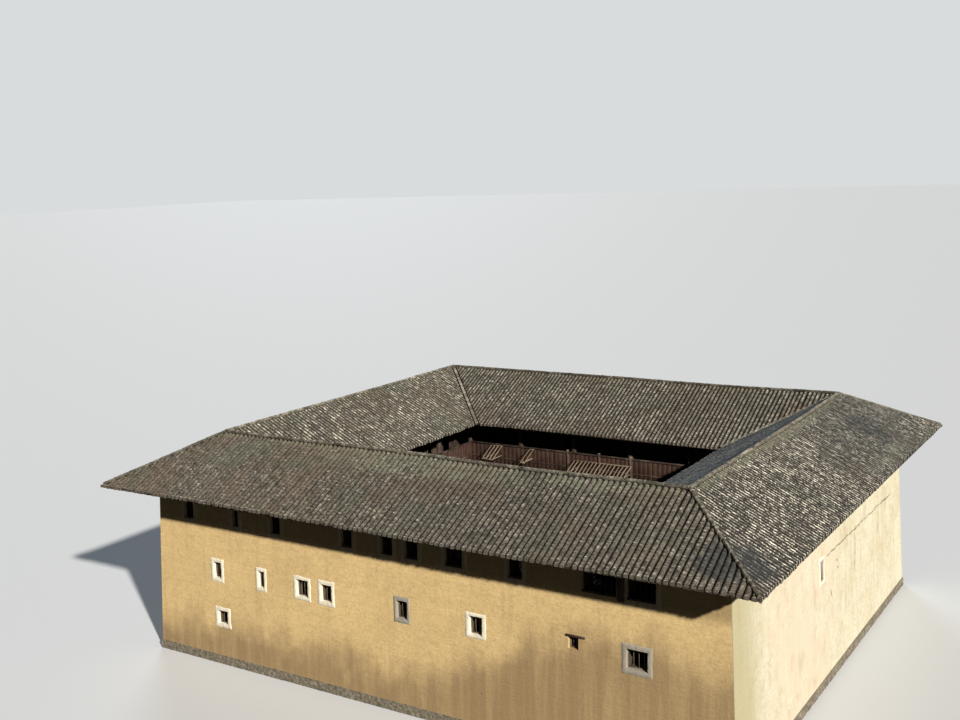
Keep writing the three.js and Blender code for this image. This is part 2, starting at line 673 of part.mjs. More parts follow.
const tulou = new THREE.Group();
tulou.add(
  footing(),
  ...outerWalls(),
  gateSurround(),
  gateLeaf("gate_leaf_left", -1),
  gateLeaf("gate_leaf_right", 1),
  ...floors(),
  ...roomFronts(),
  ...galleryFrames(),
  balustrade("second_balustrade", SECOND_LEVEL),
  balustrade("third_balustrade", THIRD_LEVEL),
  ...RACKS.map(dryingRack),
  ...slopes(),
  ridgeAndHips(),
  ...eaveFrames(),
);

export default tulou;
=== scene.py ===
import math

import bpy
import numpy as np
from mathutils import Matrix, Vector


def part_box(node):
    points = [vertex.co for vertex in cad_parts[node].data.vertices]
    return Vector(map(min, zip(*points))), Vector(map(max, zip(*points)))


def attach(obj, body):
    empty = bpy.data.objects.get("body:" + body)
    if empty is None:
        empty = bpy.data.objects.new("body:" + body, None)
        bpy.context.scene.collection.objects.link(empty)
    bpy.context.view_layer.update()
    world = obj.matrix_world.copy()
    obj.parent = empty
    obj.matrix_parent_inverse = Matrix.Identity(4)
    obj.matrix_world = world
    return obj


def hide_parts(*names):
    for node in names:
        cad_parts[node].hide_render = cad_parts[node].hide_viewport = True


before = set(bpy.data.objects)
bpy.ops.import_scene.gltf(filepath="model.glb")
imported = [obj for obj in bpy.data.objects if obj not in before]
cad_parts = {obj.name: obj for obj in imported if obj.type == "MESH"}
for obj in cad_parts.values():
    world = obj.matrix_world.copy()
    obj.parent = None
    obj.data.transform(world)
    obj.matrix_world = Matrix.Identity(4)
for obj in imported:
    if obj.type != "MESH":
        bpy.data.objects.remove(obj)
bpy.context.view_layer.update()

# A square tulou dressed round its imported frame: clay tiles, rammed earth, lime, timber and stone.
# Lengths are in metres. The front wall faces -Y, the gate faces +Y and +Z is up, as in the frame.

bl_info = {
    "name": "Square tulou",
    "version": (1, 0, 0),
    "blender": (4, 5, 0),
    "location": "View3D > Sidebar > Tulou",
    "description": "Tiles, earth walls, lime, timber and stone of a three-storey house round a courtyard",
    "category": "Add Mesh",
}

SIDES = ("front", "right", "back", "left")
LONG_SIDES = ("front", "back")


def by_side(on_long, on_short):
    """One value for each side of the plan, whose front and back are long."""
    return {side: on_long if side in LONG_SIDES else on_short for side in SIDES}


# The kind of side that meets each side at its corners
ACROSS = by_side("right", "front")

# Roof, read from the slopes of the frame
RIDGE_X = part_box("roof_outer_right")[0].x
RIDGE_Y = -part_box("roof_outer_front")[1].y
RIDGE_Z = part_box("roof_outer_front")[1].z
RIDGE_HALF = by_side(RIDGE_X, RIDGE_Y)
RIDGE_OUT = by_side(RIDGE_Y, RIDGE_X)
OUTER_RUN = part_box("roof_outer_right")[1].x - RIDGE_X
INNER_RUN = RIDGE_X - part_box("roof_inner_right")[0].x
ROOF_DEPTH = 0.22
ROOF_FALL = (RIDGE_Z - ROOF_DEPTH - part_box("roof_outer_front")[0].z) / OUTER_RUN
CAP_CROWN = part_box("ridge_and_hips")[1].z

# Outer wall: the outer face at the foot of the earth, its lean for each metre of height, its head, how much
# further out the lean brings the face at the ground, and the inner face
WALL_FOOT_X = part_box("right_wall")[1].x
WALL_FOOT_Y = -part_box("front_wall_ground")[0].y
WALL_FOOT_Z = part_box("front_wall_ground")[0].z
WALL_FOOT = by_side(WALL_FOOT_Y, WALL_FOOT_X)
WALL_LEAN = (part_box("front_wall_third")[0].y + WALL_FOOT_Y) / (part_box("front_wall_third")[0].z - WALL_FOOT_Z)
WALL_HEAD = 9.98
FOOT_LEAN = WALL_LEAN * WALL_FOOT_Z
INNER_FACE_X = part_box("right_wall")[0].x
INNER_FACE = by_side(-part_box("front_wall_ground")[1].y, INNER_FACE_X)

# Floors and galleries. A gallery has half its length, its distance from the plan's middle and its bays.
GROUND_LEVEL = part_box("ground_floor")[1].z
SECOND_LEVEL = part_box("second_floor")[1].z
THIRD_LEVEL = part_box("third_floor")[1].z
YARD_X = -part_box("gallery_frame_left")[1].x
YARD_Y = -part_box("gallery_frame_front")[1].y
GALLERY = by_side((YARD_X, YARD_Y, 5), (YARD_Y, YARD_X, 4))
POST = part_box("gallery_frame_right")[1].x - YARD_X
ROOM_X = -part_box("room_front_left")[1].x
ROOM_Y = -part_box("room_front_front")[1].y


# Arrays and meshes

def placed(side, along, out, height):
    """World points of one side of the house: along runs anticlockwise seen from above, out leads away."""
    along, out, height = np.broadcast_arrays(along, out, height)
    ways = {"front": (along, -out), "right": (out, along), "back": (-along, out), "left": (-out, -along)}
    return np.stack([*ways[side], height], axis=-1).astype(float)


ALONG = {side: placed(side, 1.0, 0.0, 0.0) for side in SIDES}


def middles(start, end, count):
    """Middles of so many equal lengths from start to end."""
    edges = np.linspace(start, end, count + 1)
    return (edges[1:] + edges[:-1]) / 2


def paired(u, v):
    return np.stack(np.broadcast_arrays(u, v), axis=-1)


def swell(p, q, size, seed):
    """An uneven surface of about -1 to 1: a sum of sines of random direction and phase, about size
    long."""
    draw = np.random.default_rng(seed)
    waves = 8
    total = 0.0
    for _ in range(waves):
        turn, phase = draw.uniform(0, 2 * np.pi, 2)
        pace = 2 * np.pi * draw.uniform(0.6, 1.7) / size
        total = total + np.sin((p * np.cos(turn) + q * np.sin(turn)) * pace + phase)
    return total / math.sqrt(waves)


def settled(points):
    """How far the old roof has sunk at each point: a slow swell of up to 7 cm that is never above the
    frame."""
    return -0.035 * (1 + np.clip(swell(points[..., 0], points[..., 1], 13.0, 41), -1, 1))


def merged(parts):
    """Several sets of points, faces and corner uv as one set."""
    offsets = np.cumsum([0] + [len(p) for p, _, _ in parts[:-1]])
    points = np.concatenate([p for p, _, _ in parts])
    faces = np.concatenate([f + o for (_, f, _), o in zip(parts, offsets)])
    return points, faces, np.concatenate([u for _, _, u in parts])


def piece(name, parts, finish, tone=None, smooth=False):
    """A new object on the root body from sets of points, faces and corner uv, with a tone for each
    point."""
    points, faces, uv = merged(parts)
    mesh = bpy.data.meshes.new(name)
    mesh.vertices.add(len(points))
    mesh.vertices.foreach_set("co", points.ravel().astype(np.float32))
    mesh.loops.add(faces.size)
    mesh.loops.foreach_set("vertex_index", faces.ravel().astype(np.int32))
    mesh.polygons.add(len(faces))
    mesh.polygons.foreach_set("loop_start", np.arange(0, faces.size, faces.shape[1], dtype=np.int32))
    mesh.update(calc_edges=True)
    mesh.uv_layers.new(name="UVMap").data.foreach_set("uv", uv.ravel().astype(np.float32))
    if tone is not None:
        mesh.attributes.new("tone", "FLOAT", "POINT").data.foreach_set("value", tone.astype(np.float32))
    if smooth:
        mesh.shade_smooth()
        mesh.set_sharp_from_angle(angle=math.radians(48))
    mesh.materials.append(finish)
    obj = bpy.data.objects.new(name, mesh)
    bpy.context.scene.collection.objects.link(obj)
    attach(obj, "root")
    return obj


def welded(points, faces, uv):
    """Joins points that share a place, then drops the triangles that this leaves without area."""
    _, kept, place = np.unique(np.round(points, 4), axis=0, return_index=True, return_inverse=True)
    faces = np.ravel(place)[faces]
    whole = (faces != np.roll(faces, 1, axis=1)).all(axis=1)
    return points[kept], faces[whole], uv[whole]


def lofted(loops, uv, ring=False):
    """A closed skin through a row of closed loops: loops[i, j] joins to its neighbours in both
    directions, and the last point of a loop joins to its first. A ring ends where it starts, and
    otherwise a fan round its middle fills the first and the last loop. A skin whose signed volume is
    below zero is turned round."""
    count, size, _ = loops.shape
    grid = np.arange(count * size).reshape(count, size)
    near, far = grid[:-1], grid[1:]
    after_near, after_far = np.roll(near, -1, axis=1), np.roll(far, -1, axis=1)
    first_middle, last_middle = np.full(size, count * size), np.full(size, count * size + 1)
    skin = [(near, far, after_far), (near, after_far, after_near)]
    if not ring:
        skin.append((first_middle, grid[0], np.roll(grid[0], -1)))
        skin.append((last_middle, np.roll(grid[-1], -1), grid[-1]))
    faces = np.concatenate([np.stack(corners, axis=-1).reshape(-1, 3) for corners in skin])
    points = np.concatenate([loops.reshape(-1, 3), loops[[0, -1]].mean(axis=1)])
    spots = np.concatenate([uv.reshape(-1, 2), uv[[0, -1]].mean(axis=1)])
    points, faces, corner_uv = welded(points, faces, spots[faces])
    a, b, c = (points[faces[:, i]] for i in range(3))
    if np.einsum("ij,ij->i", a, np.cross(b, c)).sum() < 0:
        faces, corner_uv = faces[:, ::-1], corner_uv[:, ::-1]
    return points, faces, corner_uv


def beams(starts, ends, width, depth, across=(0, 0, 1)):
    """Square-cut bars from starts to ends: width is measured along across, depth square to it and to the
    bar. Corner k of an end stands at half the width and depth, signed by k, from the end's middle. The uv
    map runs round the bar and along it, in metres."""
    starts, ends = np.broadcast_arrays(np.atleast_2d(starts).astype(float), np.atleast_2d(ends).astype(float))
    count = len(starts)
    length = np.linalg.norm(ends - starts, axis=1)
    way = (ends - starts) / length[:, None]
    wide = np.asarray(across, float) - (way @ np.asarray(across, float))[:, None] * way
    wide = wide / np.linalg.norm(wide, axis=1)[:, None]
    deep = np.cross(way, wide)
    width = np.broadcast_to(np.asarray(width, float), (count,))
    depth = np.broadcast_to(np.asarray(depth, float), (count,))
    signs = np.array([[-1, -1], [1, -1], [1, 1], [-1, 1]]) / 2
    rim = signs[None, :, :1] * (wide * width[:, None])[:, None]
    rim = rim + signs[None, :, 1:] * (deep * depth[:, None])[:, None]
    points = np.concatenate([starts[:, None] + rim, ends[:, None] + rim], axis=1)
    around = np.array([[0, 1, 5, 4], [1, 2, 6, 5], [2, 3, 7, 6], [3, 0, 4, 7], [3, 2, 1, 0], [4, 5, 6, 7]])
    faces = (np.arange(count)[:, None, None] * 8 + around[None]).reshape(-1, 4)
    zero = np.zeros(count)
    turn = np.cumsum([zero, width, depth, width, depth], axis=0)
    uv = np.empty((count, 6, 4, 2))
    for k in range(4):
        uv[:, k, :, 0] = np.stack([turn[k], turn[k + 1], turn[k + 1], turn[k]], axis=1)
        uv[:, k, :, 1] = np.stack([zero, zero, length, length], axis=1)
    uv[:, 4:, :, 0] = np.stack([zero, width, width, zero], axis=1)[:, None]
    uv[:, 4:, :, 1] = np.stack([zero, zero, depth, depth], axis=1)[:, None]
    uv += np.random.default_rng(count).uniform(0, 40, (count, 1, 1, 2))
    return points.reshape(-1, 3), faces, uv.reshape(-1, 4, 2)


def uprights(side, along, out, foot, head, width, depth):
    """Posts or boards that stand at places along a side."""
    along = np.atleast_1d(along)
    return beams(placed(side, along, out, foot), placed(side, along, out, head), width, depth, ALONG[side])


def level_bars(side, start, end, out, height, deep, thick):
    """Bars that run along a side, so deep from top to bottom and so thick across the wall."""
    return beams(placed(side, start, out, height), placed(side, end, out, height), deep, thick)


def cross_bars(side, along, start, end, height, wide, deep):
    """Level bars that run from start out to end at places along a side."""
    starts, ends = placed(side, along, start, height), placed(side, along, end, height)
    return beams(starts, ends, wide, deep, ALONG[side])


def barwork(name, bars, finish, seed, edge=0.006):
    """Bars as one piece, each with a random tone, and with one narrow chamfer unless edge is 0."""
    corners = 8
    count = sum(len(points) for points, _, _ in bars) // corners
    tone = np.repeat(np.random.default_rng(seed).uniform(0, 1, count), corners)
    obj = piece(name, bars, finish, tone)
    if edge:
        bevel = obj.modifiers.new("eased edges", "BEVEL")
        bevel.width = edge
        bevel.segments = 1
        bevel.limit_method = "ANGLE"
    return obj


# Materials

class Value:
    """A number, colour or place that a node puts out. Signs and abs() add the nodes that work on it."""

    def __init__(self, weave, socket):
        self.weave = weave
        self.socket = socket

    def __add__(self, other):
        return self.weave.maths("ADD", self, other)

    def __sub__(self, other):
        return self.weave.maths("SUBTRACT", self, other)

    def __rsub__(self, other):
        return self.weave.maths("SUBTRACT", other, self)

    def __mul__(self, other):
        return self.weave.maths("MULTIPLY", self, other)

    def __truediv__(self, other):
        return self.weave.maths("DIVIDE", self, other)

    def __abs__(self):
        return self.weave.maths("ABSOLUTE", self)

    def floor(self):
        return self.weave.maths("FLOOR", self)

    def fract(self):
        return self.weave.maths("FRACT", self)

    def root(self):
        return self.weave.maths("SQRT", self)

    def least(self, other):
        return self.weave.maths("MINIMUM", self, other)

    def most(self, other):
        return self.weave.maths("MAXIMUM", self, other)

    def parts(self):
        """The three numbers of a place or colour."""
        return [Value(self.weave, s) for s in self.weave.node("ShaderNodeSeparateXYZ", {0: self}).outputs]

    def eased(self, start, end, low=0.0, high=1.0):
        """Low up to start, high from end, and a smooth step between them."""
        inputs = {"Value": self, "From Min": start, "From Max": end, "To Min": low, "To Max": high}
        return self.weave.value("Result", "ShaderNodeMapRange", inputs, interpolation_type="SMOOTHSTEP")

    def band(self, middle, half):
        """1 at the middle, and 0 from half away from it."""
        return abs(self - middle).eased(0.0, half, 1.0, 0.0)

    def noise(self, scale, detail=3.0, rough=0.55, stretch=None, shift=(0, 0, 0)):
        """Fractal noise at this place, which may be stretched and shifted first."""
        place = self
        if stretch:
            inputs = {"Vector": self, "Scale": stretch, "Location": shift}
            place = self.weave.value("Vector", "ShaderNodeMapping", inputs)
        inputs = {"Vector": place, "Scale": scale, "Detail": detail, "Roughness": rough}
        return self.weave.value("Fac", "ShaderNodeTexNoise", inputs)

    def dice(self):
        """A random number that changes with this one."""
        return self.weave.value("Value", "ShaderNodeTexWhiteNoise", {"W": self}, noise_dimensions="1D")

    def between(self, first, second, blend="MIX"):
        """The colour from first to second by this share."""
        inputs = {0: self, 6: first, 7: second}
        return self.weave.value(2, "ShaderNodeMix", inputs, data_type="RGBA", blend_type=blend)

    def mixed(self, tint, share):
        return share.between(self, tint)

    def shaded(self, tint, share):
        """This colour, multiplied by the tint where the share is 1."""
        return share.between(self, (*tint, 1.0), "MULTIPLY")

    def scaled(self, factor):
        return self.weave.value(0, "ShaderNodeVectorMath", {0: self, "Scale": factor}, operation="SCALE")


class Weave:
    """Adds nodes to one tree."""

    def __init__(self, tree):
        self.tree = tree

    def wire(self, target, value):
        """Links a value to an input, or writes a plain number or colour there."""
        if isinstance(value, Value):
            self.tree.links.new(value.socket, target)
        else:
            target.default_value = value

    def node(self, kind, inputs=None, **settings):
        made = self.tree.nodes.new(kind)
        for key, value in settings.items():
            setattr(made, key, value)
        for key, value in (inputs or {}).items():
            self.wire(made.inputs[key], value)
        return made

    def value(self, output, kind, inputs=None, **settings):
        """What one output of a new node gives."""
        return Value(self, self.node(kind, inputs, **settings).outputs[output])

    def maths(self, operation, *values):
        return self.value(0, "ShaderNodeMath", dict(enumerate(values)), operation=operation)

    def combined(self, x, y, z):
        return self.value(0, "ShaderNodeCombineXYZ", {0: x, 1: y, 2: z})

    def object_place(self):
        return self.value("Object", "ShaderNodeTexCoord")

    def uv_place(self):
        return self.value("UV", "ShaderNodeUVMap", uv_map="UVMap")

    def tone(self):
        return self.value("Fac", "ShaderNodeAttribute", attribute_name="tone")

    def group(self, tree, inputs):
        made = self.node("ShaderNodeGroup", node_tree=tree)
        for key, value in inputs.items():
            self.wire(made.inputs[key], value)
        return {socket.name: Value(self, socket) for socket in made.outputs}


def effect(name, colours, numbers, build):
    """A shader node group with inputs of these names. Build gets a weave and the group's inputs, and
    gives back its outputs by name. Color is a colour, and the others are numbers."""
    if name in bpy.data.node_groups:
        return bpy.data.node_groups[name]
    tree = bpy.data.node_groups.new(name, "ShaderNodeTree")
    weave = Weave(tree)

    def add_socket(label, way, is_colour):
        kind = "NodeSocketColor" if is_colour else "NodeSocketFloat"
        tree.interface.new_socket(name=label, in_out=way, socket_type=kind)

    for label in colours + numbers:
        add_socket(label, "INPUT", label in colours)
    given = {s.name: Value(weave, s) for s in tree.nodes.new("NodeGroupInput").outputs if s.name}
    made = build(weave, given)
    for label in made:
        add_socket(label, "OUTPUT", label == "Color")
    result = tree.nodes.new("NodeGroupOutput").inputs
    for label, value in made.items():
        weave.wire(result[label], value)
    return tree


def colour(red, green, blue):
    """A colour from 0 to 255 values as the linear colour that the nodes take."""
    c = np.array([red, green, blue]) / 255
    return (*np.where(c <= 0.04045, c / 12.92, ((c + 0.055) / 1.055) ** 2.4).tolist(), 1.0)


def surface(name, build, relief=0.0):
    """A material: build adds its nodes and gives back its colour, its roughness and the height of a
    relief that is so deep."""
    if name in bpy.data.materials:
        return bpy.data.materials[name]
    material = bpy.data.materials.new(name)
    material.use_nodes = True
    weave = Weave(material.node_tree)
    base, rough, height = build(weave)
    shader = material.node_tree.nodes["Principled BSDF"].inputs
    weave.wire(shader["Base Color"], base)
    weave.wire(shader["Roughness"], rough)
    if relief:
        inputs = {"Height": height, "Distance": relief, "Strength": 1.0}
        weave.wire(shader["Normal"], weave.value("Normal", "ShaderNodeBump", inputs))
    return material


def tile_effect():
    """Weathered clay tiles. The uv map counts rows and courses, so its whole part names a tile and its
    fraction is the place on the tile: lichen mottles all of them, each row and each tile has a tone of
    its own, crests are bleached, some lower edges are pale from wear and partly as a painted highlight,
    the pan and the gap that a cover leaves over it are dark with painted shade and some dirt, and the
    strip under the tile above is dark with painted shade. Grey green growth covers the courses next to
    the ridge."""

    def build(weave, given):
        u, v, _ = weave.uv_place().parts()
        across, down = u.fract(), v.fract()
        which = weave.combined(u.floor(), v.floor(), given["Seed"])
        chance = weave.value("Color", "ShaderNodeTexWhiteNoise", {"Vector": which}, noise_dimensions="3D")
        nose_dice, edge_dice, tone_dice = chance.parts()
        row_dice = u.floor().dice()
        place = weave.object_place()
        patch = place.noise(0.3, 5.0, 0.62)
        second_patch = place.noise(0.42, 4.0, 0.6, (1, 1, 1), (31, 17, 5))
        grime = place.noise(2.2, 4.0, 0.6)
        lichen = place.noise(11.0, 4.0, 0.75)
        speckle = place.noise(15.0, 3.0, 0.8)
        base = lichen.eased(0.4, 0.6).between(given["Dark"], given["Middle"])
        base = base.mixed(given["Pale"], speckle.eased(0.54, 0.68, 0.0, 0.85))
        dash = weave.combined(row_dice * 97.0, v * given["Dashes"], given["Seed"]).noise(1.0, 3.0, 0.7)
        bleached = dash.eased(0.42, 0.62) * across.band(0.4, 0.32) * given["Wear"]
        base = base.mixed(given["Pale"], bleached)
        base = base.mixed(given["Speck"], bleached * dash.eased(0.5, 0.64))
        base = base.scaled((tone_dice - 0.5) * given["Tiles"] + 1.0)
        base = base.shaded((0.5, 0.48, 0.45), row_dice * 0.35)
        base = base.mixed(given["Patch"], patch.eased(0.46, 0.62) * 0.5)
        base = base.mixed(given["Growth"], second_patch.eased(0.5, 0.66) * 0.4)
        base = base.shaded((0.4, 0.38, 0.36), grime.eased(0.4, 0.75, 0.0, 0.45))
        # Pale lower edges of some tiles: partly wear, partly a painted highlight
        edge = down.band(0.9, 0.12) * across.band(0.36, 0.34)
        base = base.mixed(given["Pale"], edge * edge_dice.eased(0.3, 0.95) * given["Tiles"])
        base = base.mixed(given["Speck"], edge * edge_dice.eased(0.965, 0.985, 0.0, 0.8))
        # Painted shade on the strip under the lower edge of the tile above
        base = base.shaded((0.14, 0.13, 0.12), down.eased(0.02, 0.14, 0.5, 0.0))
        # Painted shade, with some dirt, in the pan and in the gap up the flanks of a cover
        gap = given["Gap"]
        low = across.eased(gap * 0.6, gap + 0.03, 1.0, 0.0)
        high = across.eased(0.75 - gap, gap * -0.6 + 0.82)
        crown = (v + 1.6 - grime * 5.0).eased(0.2, 2.0, 1.0, 0.0) * given["Crowning"]
        crown = crown * patch.eased(0.42, 0.56, 0.3, 1.0)
        base = base.mixed(given["Crown"], crown)
        base = base.shaded((0.06, 0.055, 0.05), low.most(high) * (crown * -0.6 + 0.97))
        nose = (v - given["Last"]).eased(-0.6, -0.25) * edge * nose_dice.eased(0.1, 0.6, 0.3, 0.9)
        base = base.mixed(given["Speck"], nose)
        height = place.noise(40.0, 3.0, 0.6) * 0.5 + lichen
        return {"Color": base, "Height": height, "Grime": grime}

    colours = ("Dark", "Middle", "Pale", "Patch", "Growth", "Speck", "Crown")
    numbers = ("Seed", "Wear", "Gap", "Tiles", "Dashes", "Crowning", "Last")
    return effect("weathered tiles", colours, numbers, build)


# Looks of each slope and of the caps: share of bleached crests, how far up a cover's flanks the gap's painted
# shade and dirt go, how far single tiles differ, how short the bleached dashes are, and the growth along the
# ridge
TILE_LOOKS = {
    "roof_outer_front": (0.35, 0.01, 0.8, 1.6, 0.3), "roof_inner_front": (0.4, 0.06, 0.5, 1.0, 0.3),
    "roof_outer_right": (1.0, 0.22, 1.2, 0.8, 0.5), "roof_inner_right": (0.7, 0.12, 1.6, 0.9, 0.2),
    "roof_outer_back": (0.3, 0.04, 0.5, 0.9, 0.2), "roof_inner_back": (0.5, 0.06, 1.0, 0.9, 0.2),
    "roof_outer_left": (0.4, 0.06, 0.5, 0.8, 0.2), "roof_inner_left": (0.75, 0.13, 0.6, 0.5, 0.2),
    "caps": (0.5, 0.0, 1.0, 1.3, 0.0),
}
# Slopes whose tiles are darker than usual: on the inner right slope, which lies in shade, this is painted shade
DARKER_SLOPES = ("roof_outer_front", "roof_inner_right")
# Distance between the rows of tiles on each slope that differs from the others
ROW_PITCHES = {"roof_outer_front": 0.264, "roof_outer_right": 0.236, "roof_inner_left": 0.252}
# Dark spots and mossy spots on the slopes, each by its middle, its reach along X and along Y and its
# strength
DARK_SPOTS = {
    "roof_outer_right": (
        (14.8, 7.6, 1.2, 2.2, 0.75), (15.9, -13.2, 1.1, 1.7, 0.8), (15.0, 7.5, 3.5, 8.0, 0.4),
    ),
    "roof_outer_front": ((15.2, -13.5, 1.5, 1.0, 0.8), (5.0, -12.5, 9.0, 3.0, 0.1)),
    # On the inner right slope both long spots are painted shade: the ridge's shadow along its top and a darker
    # slope below it
    "roof_inner_right": ((12.6, 0.0, 1.5, 16.0, 0.75), (10.0, 0.0, 2.4, 16.0, 0.2)),
}
MOSSY_SPOTS = {
    "roof_outer_front": ((-0.5, -11.0, 6.5, 0.8, 1.0), (8.5, -10.8, 3.5, 0.4, 1.0)),
    "roof_outer_right": ((12.8, -2.0, 0.45, 9.0, 0.7), (16.5, 6.0, 0.5, 5.0, 0.6)),
    "roof_inner_right": ((11.6, 8.6, 1.0, 1.4, 1.0), (10.2, -6.0, 0.9, 2.4, 0.8)),
}


def spot_mask(weave, spots):
    """Each spot's strength within a soft and ragged oval, 0 outside them all."""
    place = weave.object_place()
    x, y, _ = place.parts()
    ragged = place.noise(1.3, 5.0, 0.65) * 1.6 - 0.8
    mask = x * 0.0
    for middle_x, middle_y, reach_x, reach_y, strength in spots:
        across, down = (x - middle_x) / reach_x, (y - middle_y) / reach_y
        distance = (across * across + down * down).root() + ragged
        mask = mask.most(distance.eased(0.5, 1.1, strength, 0.0))
    return mask


def tile_surface(node, seed, middle, roof, courses):
    """Weathered clay for one slope or for the caps, each with its own looks, its number of courses and
    its dark spots, partly damp and partly painted shade, and its mossy spots. A cap with a tone is darker."""

    def build(weave):
        wear, gap, tiles, dashes, crowning = TILE_LOOKS[node]
        pale = {"roof_outer_right": roof.bleached, "roof_outer_front": roof.front_pale}.get(node, roof.pale)
        made = weave.group(tile_effect(), {
            "Dark": roof.dark, "Middle": middle, "Pale": pale, "Patch": roof.patch, "Growth": roof.growth,
            "Speck": roof.speck, "Crown": roof.crown, "Seed": seed, "Wear": wear, "Gap": gap, "Tiles": tiles,
            "Dashes": dashes, "Crowning": crowning, "Last": courses,
        })
        base = made["Color"]
        if node in DARK_SPOTS:
            # Dark spots: damp, and painted shade on the inner right slope
            damp_and_shade = spot_mask(weave, DARK_SPOTS[node])
            base = base.mixed(roof.damp_and_shade, damp_and_shade * 0.4).shaded((0.26, 0.3, 0.34), damp_and_shade)
        if node in MOSSY_SPOTS:
            growth = made["Grime"].eased(0.42, 0.6, 0.06, 0.42)
            base = base.mixed(roof.moss, spot_mask(weave, MOSSY_SPOTS[node]) * growth)
        base = base.shaded((0.3, 0.28, 0.25), weave.tone())
        return base, made["Grime"].eased(0.3, 0.8, 0.78, 0.96), made["Height"]

    return surface(node + " tiles", build, 0.006)


def earth_effect():
    """Rammed earth: level seams where one lift of earth met the next, board marks, vertical runs of rain
    and dirt, patches, small stones and a few dark holes."""

    def build(weave, given):
        place = weave.object_place()
        z = place.parts()[2]
        lift = (place.noise(1.0, 2.0, stretch=(0.5, 0.5, 0.9)) * 0.16 + z) / given["Lift"]
        worn = place.noise(1.3, stretch=(0.8, 0.8, 2.5)).eased(0.46, 0.7)
        seam = lift.fract().band(0.5, 0.055) * worn * given["Seams"]
        layers = place.noise(1.0, 3.0, 0.6, (0.35, 0.35, 9.0))
        runs = place.noise(1.0, 5.0, 0.62, (2.2, 2.2, 0.1))
        patch = place.noise(0.45, 5.0, 0.6)
        mottle = place.noise(2.6, 4.0, 0.65, (1, 1, 1.8), (3, 8, 1))
        grain = place.noise(9.0, 6.0, 0.72)
        base = patch.eased(0.3, 0.72).between(given["Earth"], given["Second earth"])
        base = base.mixed(given["Second earth"], layers.eased(0.35, 0.7) * 0.25)
        base = base.shaded((0.55, 0.5, 0.42), (lift + 0.5).floor().dice() * given["Seams"] * 0.4)
        gritty = grain.eased(0.36, 0.7) * 0.36 + mottle.eased(0.4, 0.66) * 0.16
        base = base.shaded((0.5, 0.45, 0.38), gritty)
        base = base.mixed(given["Stain"], runs.eased(0.5, 0.72) * given["Runs"])
        base = base.shaded((0.25, 0.21, 0.17), seam)
        stones = weave.value("Distance", "ShaderNodeTexVoronoi", {"Vector": place, "Scale": 1.1})
        hole = stones.eased(0.02, 0.05, 1.0, 0.0) * patch.eased(0.5, 0.6)
        base = base.shaded((0.16, 0.13, 0.1), hole)
        height = grain * 0.55 + place.noise(60.0, 3.0, 0.7) * 0.18 - seam * 0.9 + layers * 0.3 - hole * 0.8
        return {"Color": base, "Height": height, "Patch": patch, "Runs": runs}

    return effect("rammed earth", ("Earth", "Second earth", "Stain"), ("Lift", "Runs", "Seams"), build)


def pale_earth(weave, walls):
    """Colour and height of the right wall's paler earth, which turns greenish grey towards its front
    corner."""
    made = weave.group(earth_effect(), {
        "Earth": walls.pale_earth, "Second earth": walls.second_pale_earth, "Stain": walls.pale_stain,
        "Lift": walls.lift, "Runs": 0.3, "Seams": 0.03,
    })
    place = weave.object_place()
    _, y, z = place.parts()
    rosy = y.band(-4.5, 7.0) * made["Patch"].eased(0.4, 0.6, 0.2, 0.9)
    blotch = place.noise(1.0, 6.0, 0.68, (1, 1, 0.7), (7, 3, 9)).eased(0.5, 0.68, 0.0, 0.35)
    corner = (made["Runs"] * 3.0 + y).eased(-10.6, -7.4, 0.8, 0.0)
    streaks = place.noise(1.0, 4.0, stretch=(3.0, 3.0, 0.12)).eased(0.48, 0.66)
    below_eave = z.eased(5.0, 9.0, 0.05, 0.25) * y.eased(-8.0, -2.0, 1.0, 0.4)
    base = made["Color"].mixed(walls.rosy_earth, rosy).mixed(walls.pale_stain, blotch)
    base = base.mixed(walls.corner_earth, corner).mixed(walls.pale_stain, streaks * below_eave)
    return base, made["Height"]


# Depth behind the wall's outer face from which the reveals of the front windows are darkened by painted
# shade, and the height from which the walls are darkened by a painted shadow of the eave
WINDOW_SHADE_DEPTH = 0.2
EAVE_SHADOW_HEIGHT = 7.0


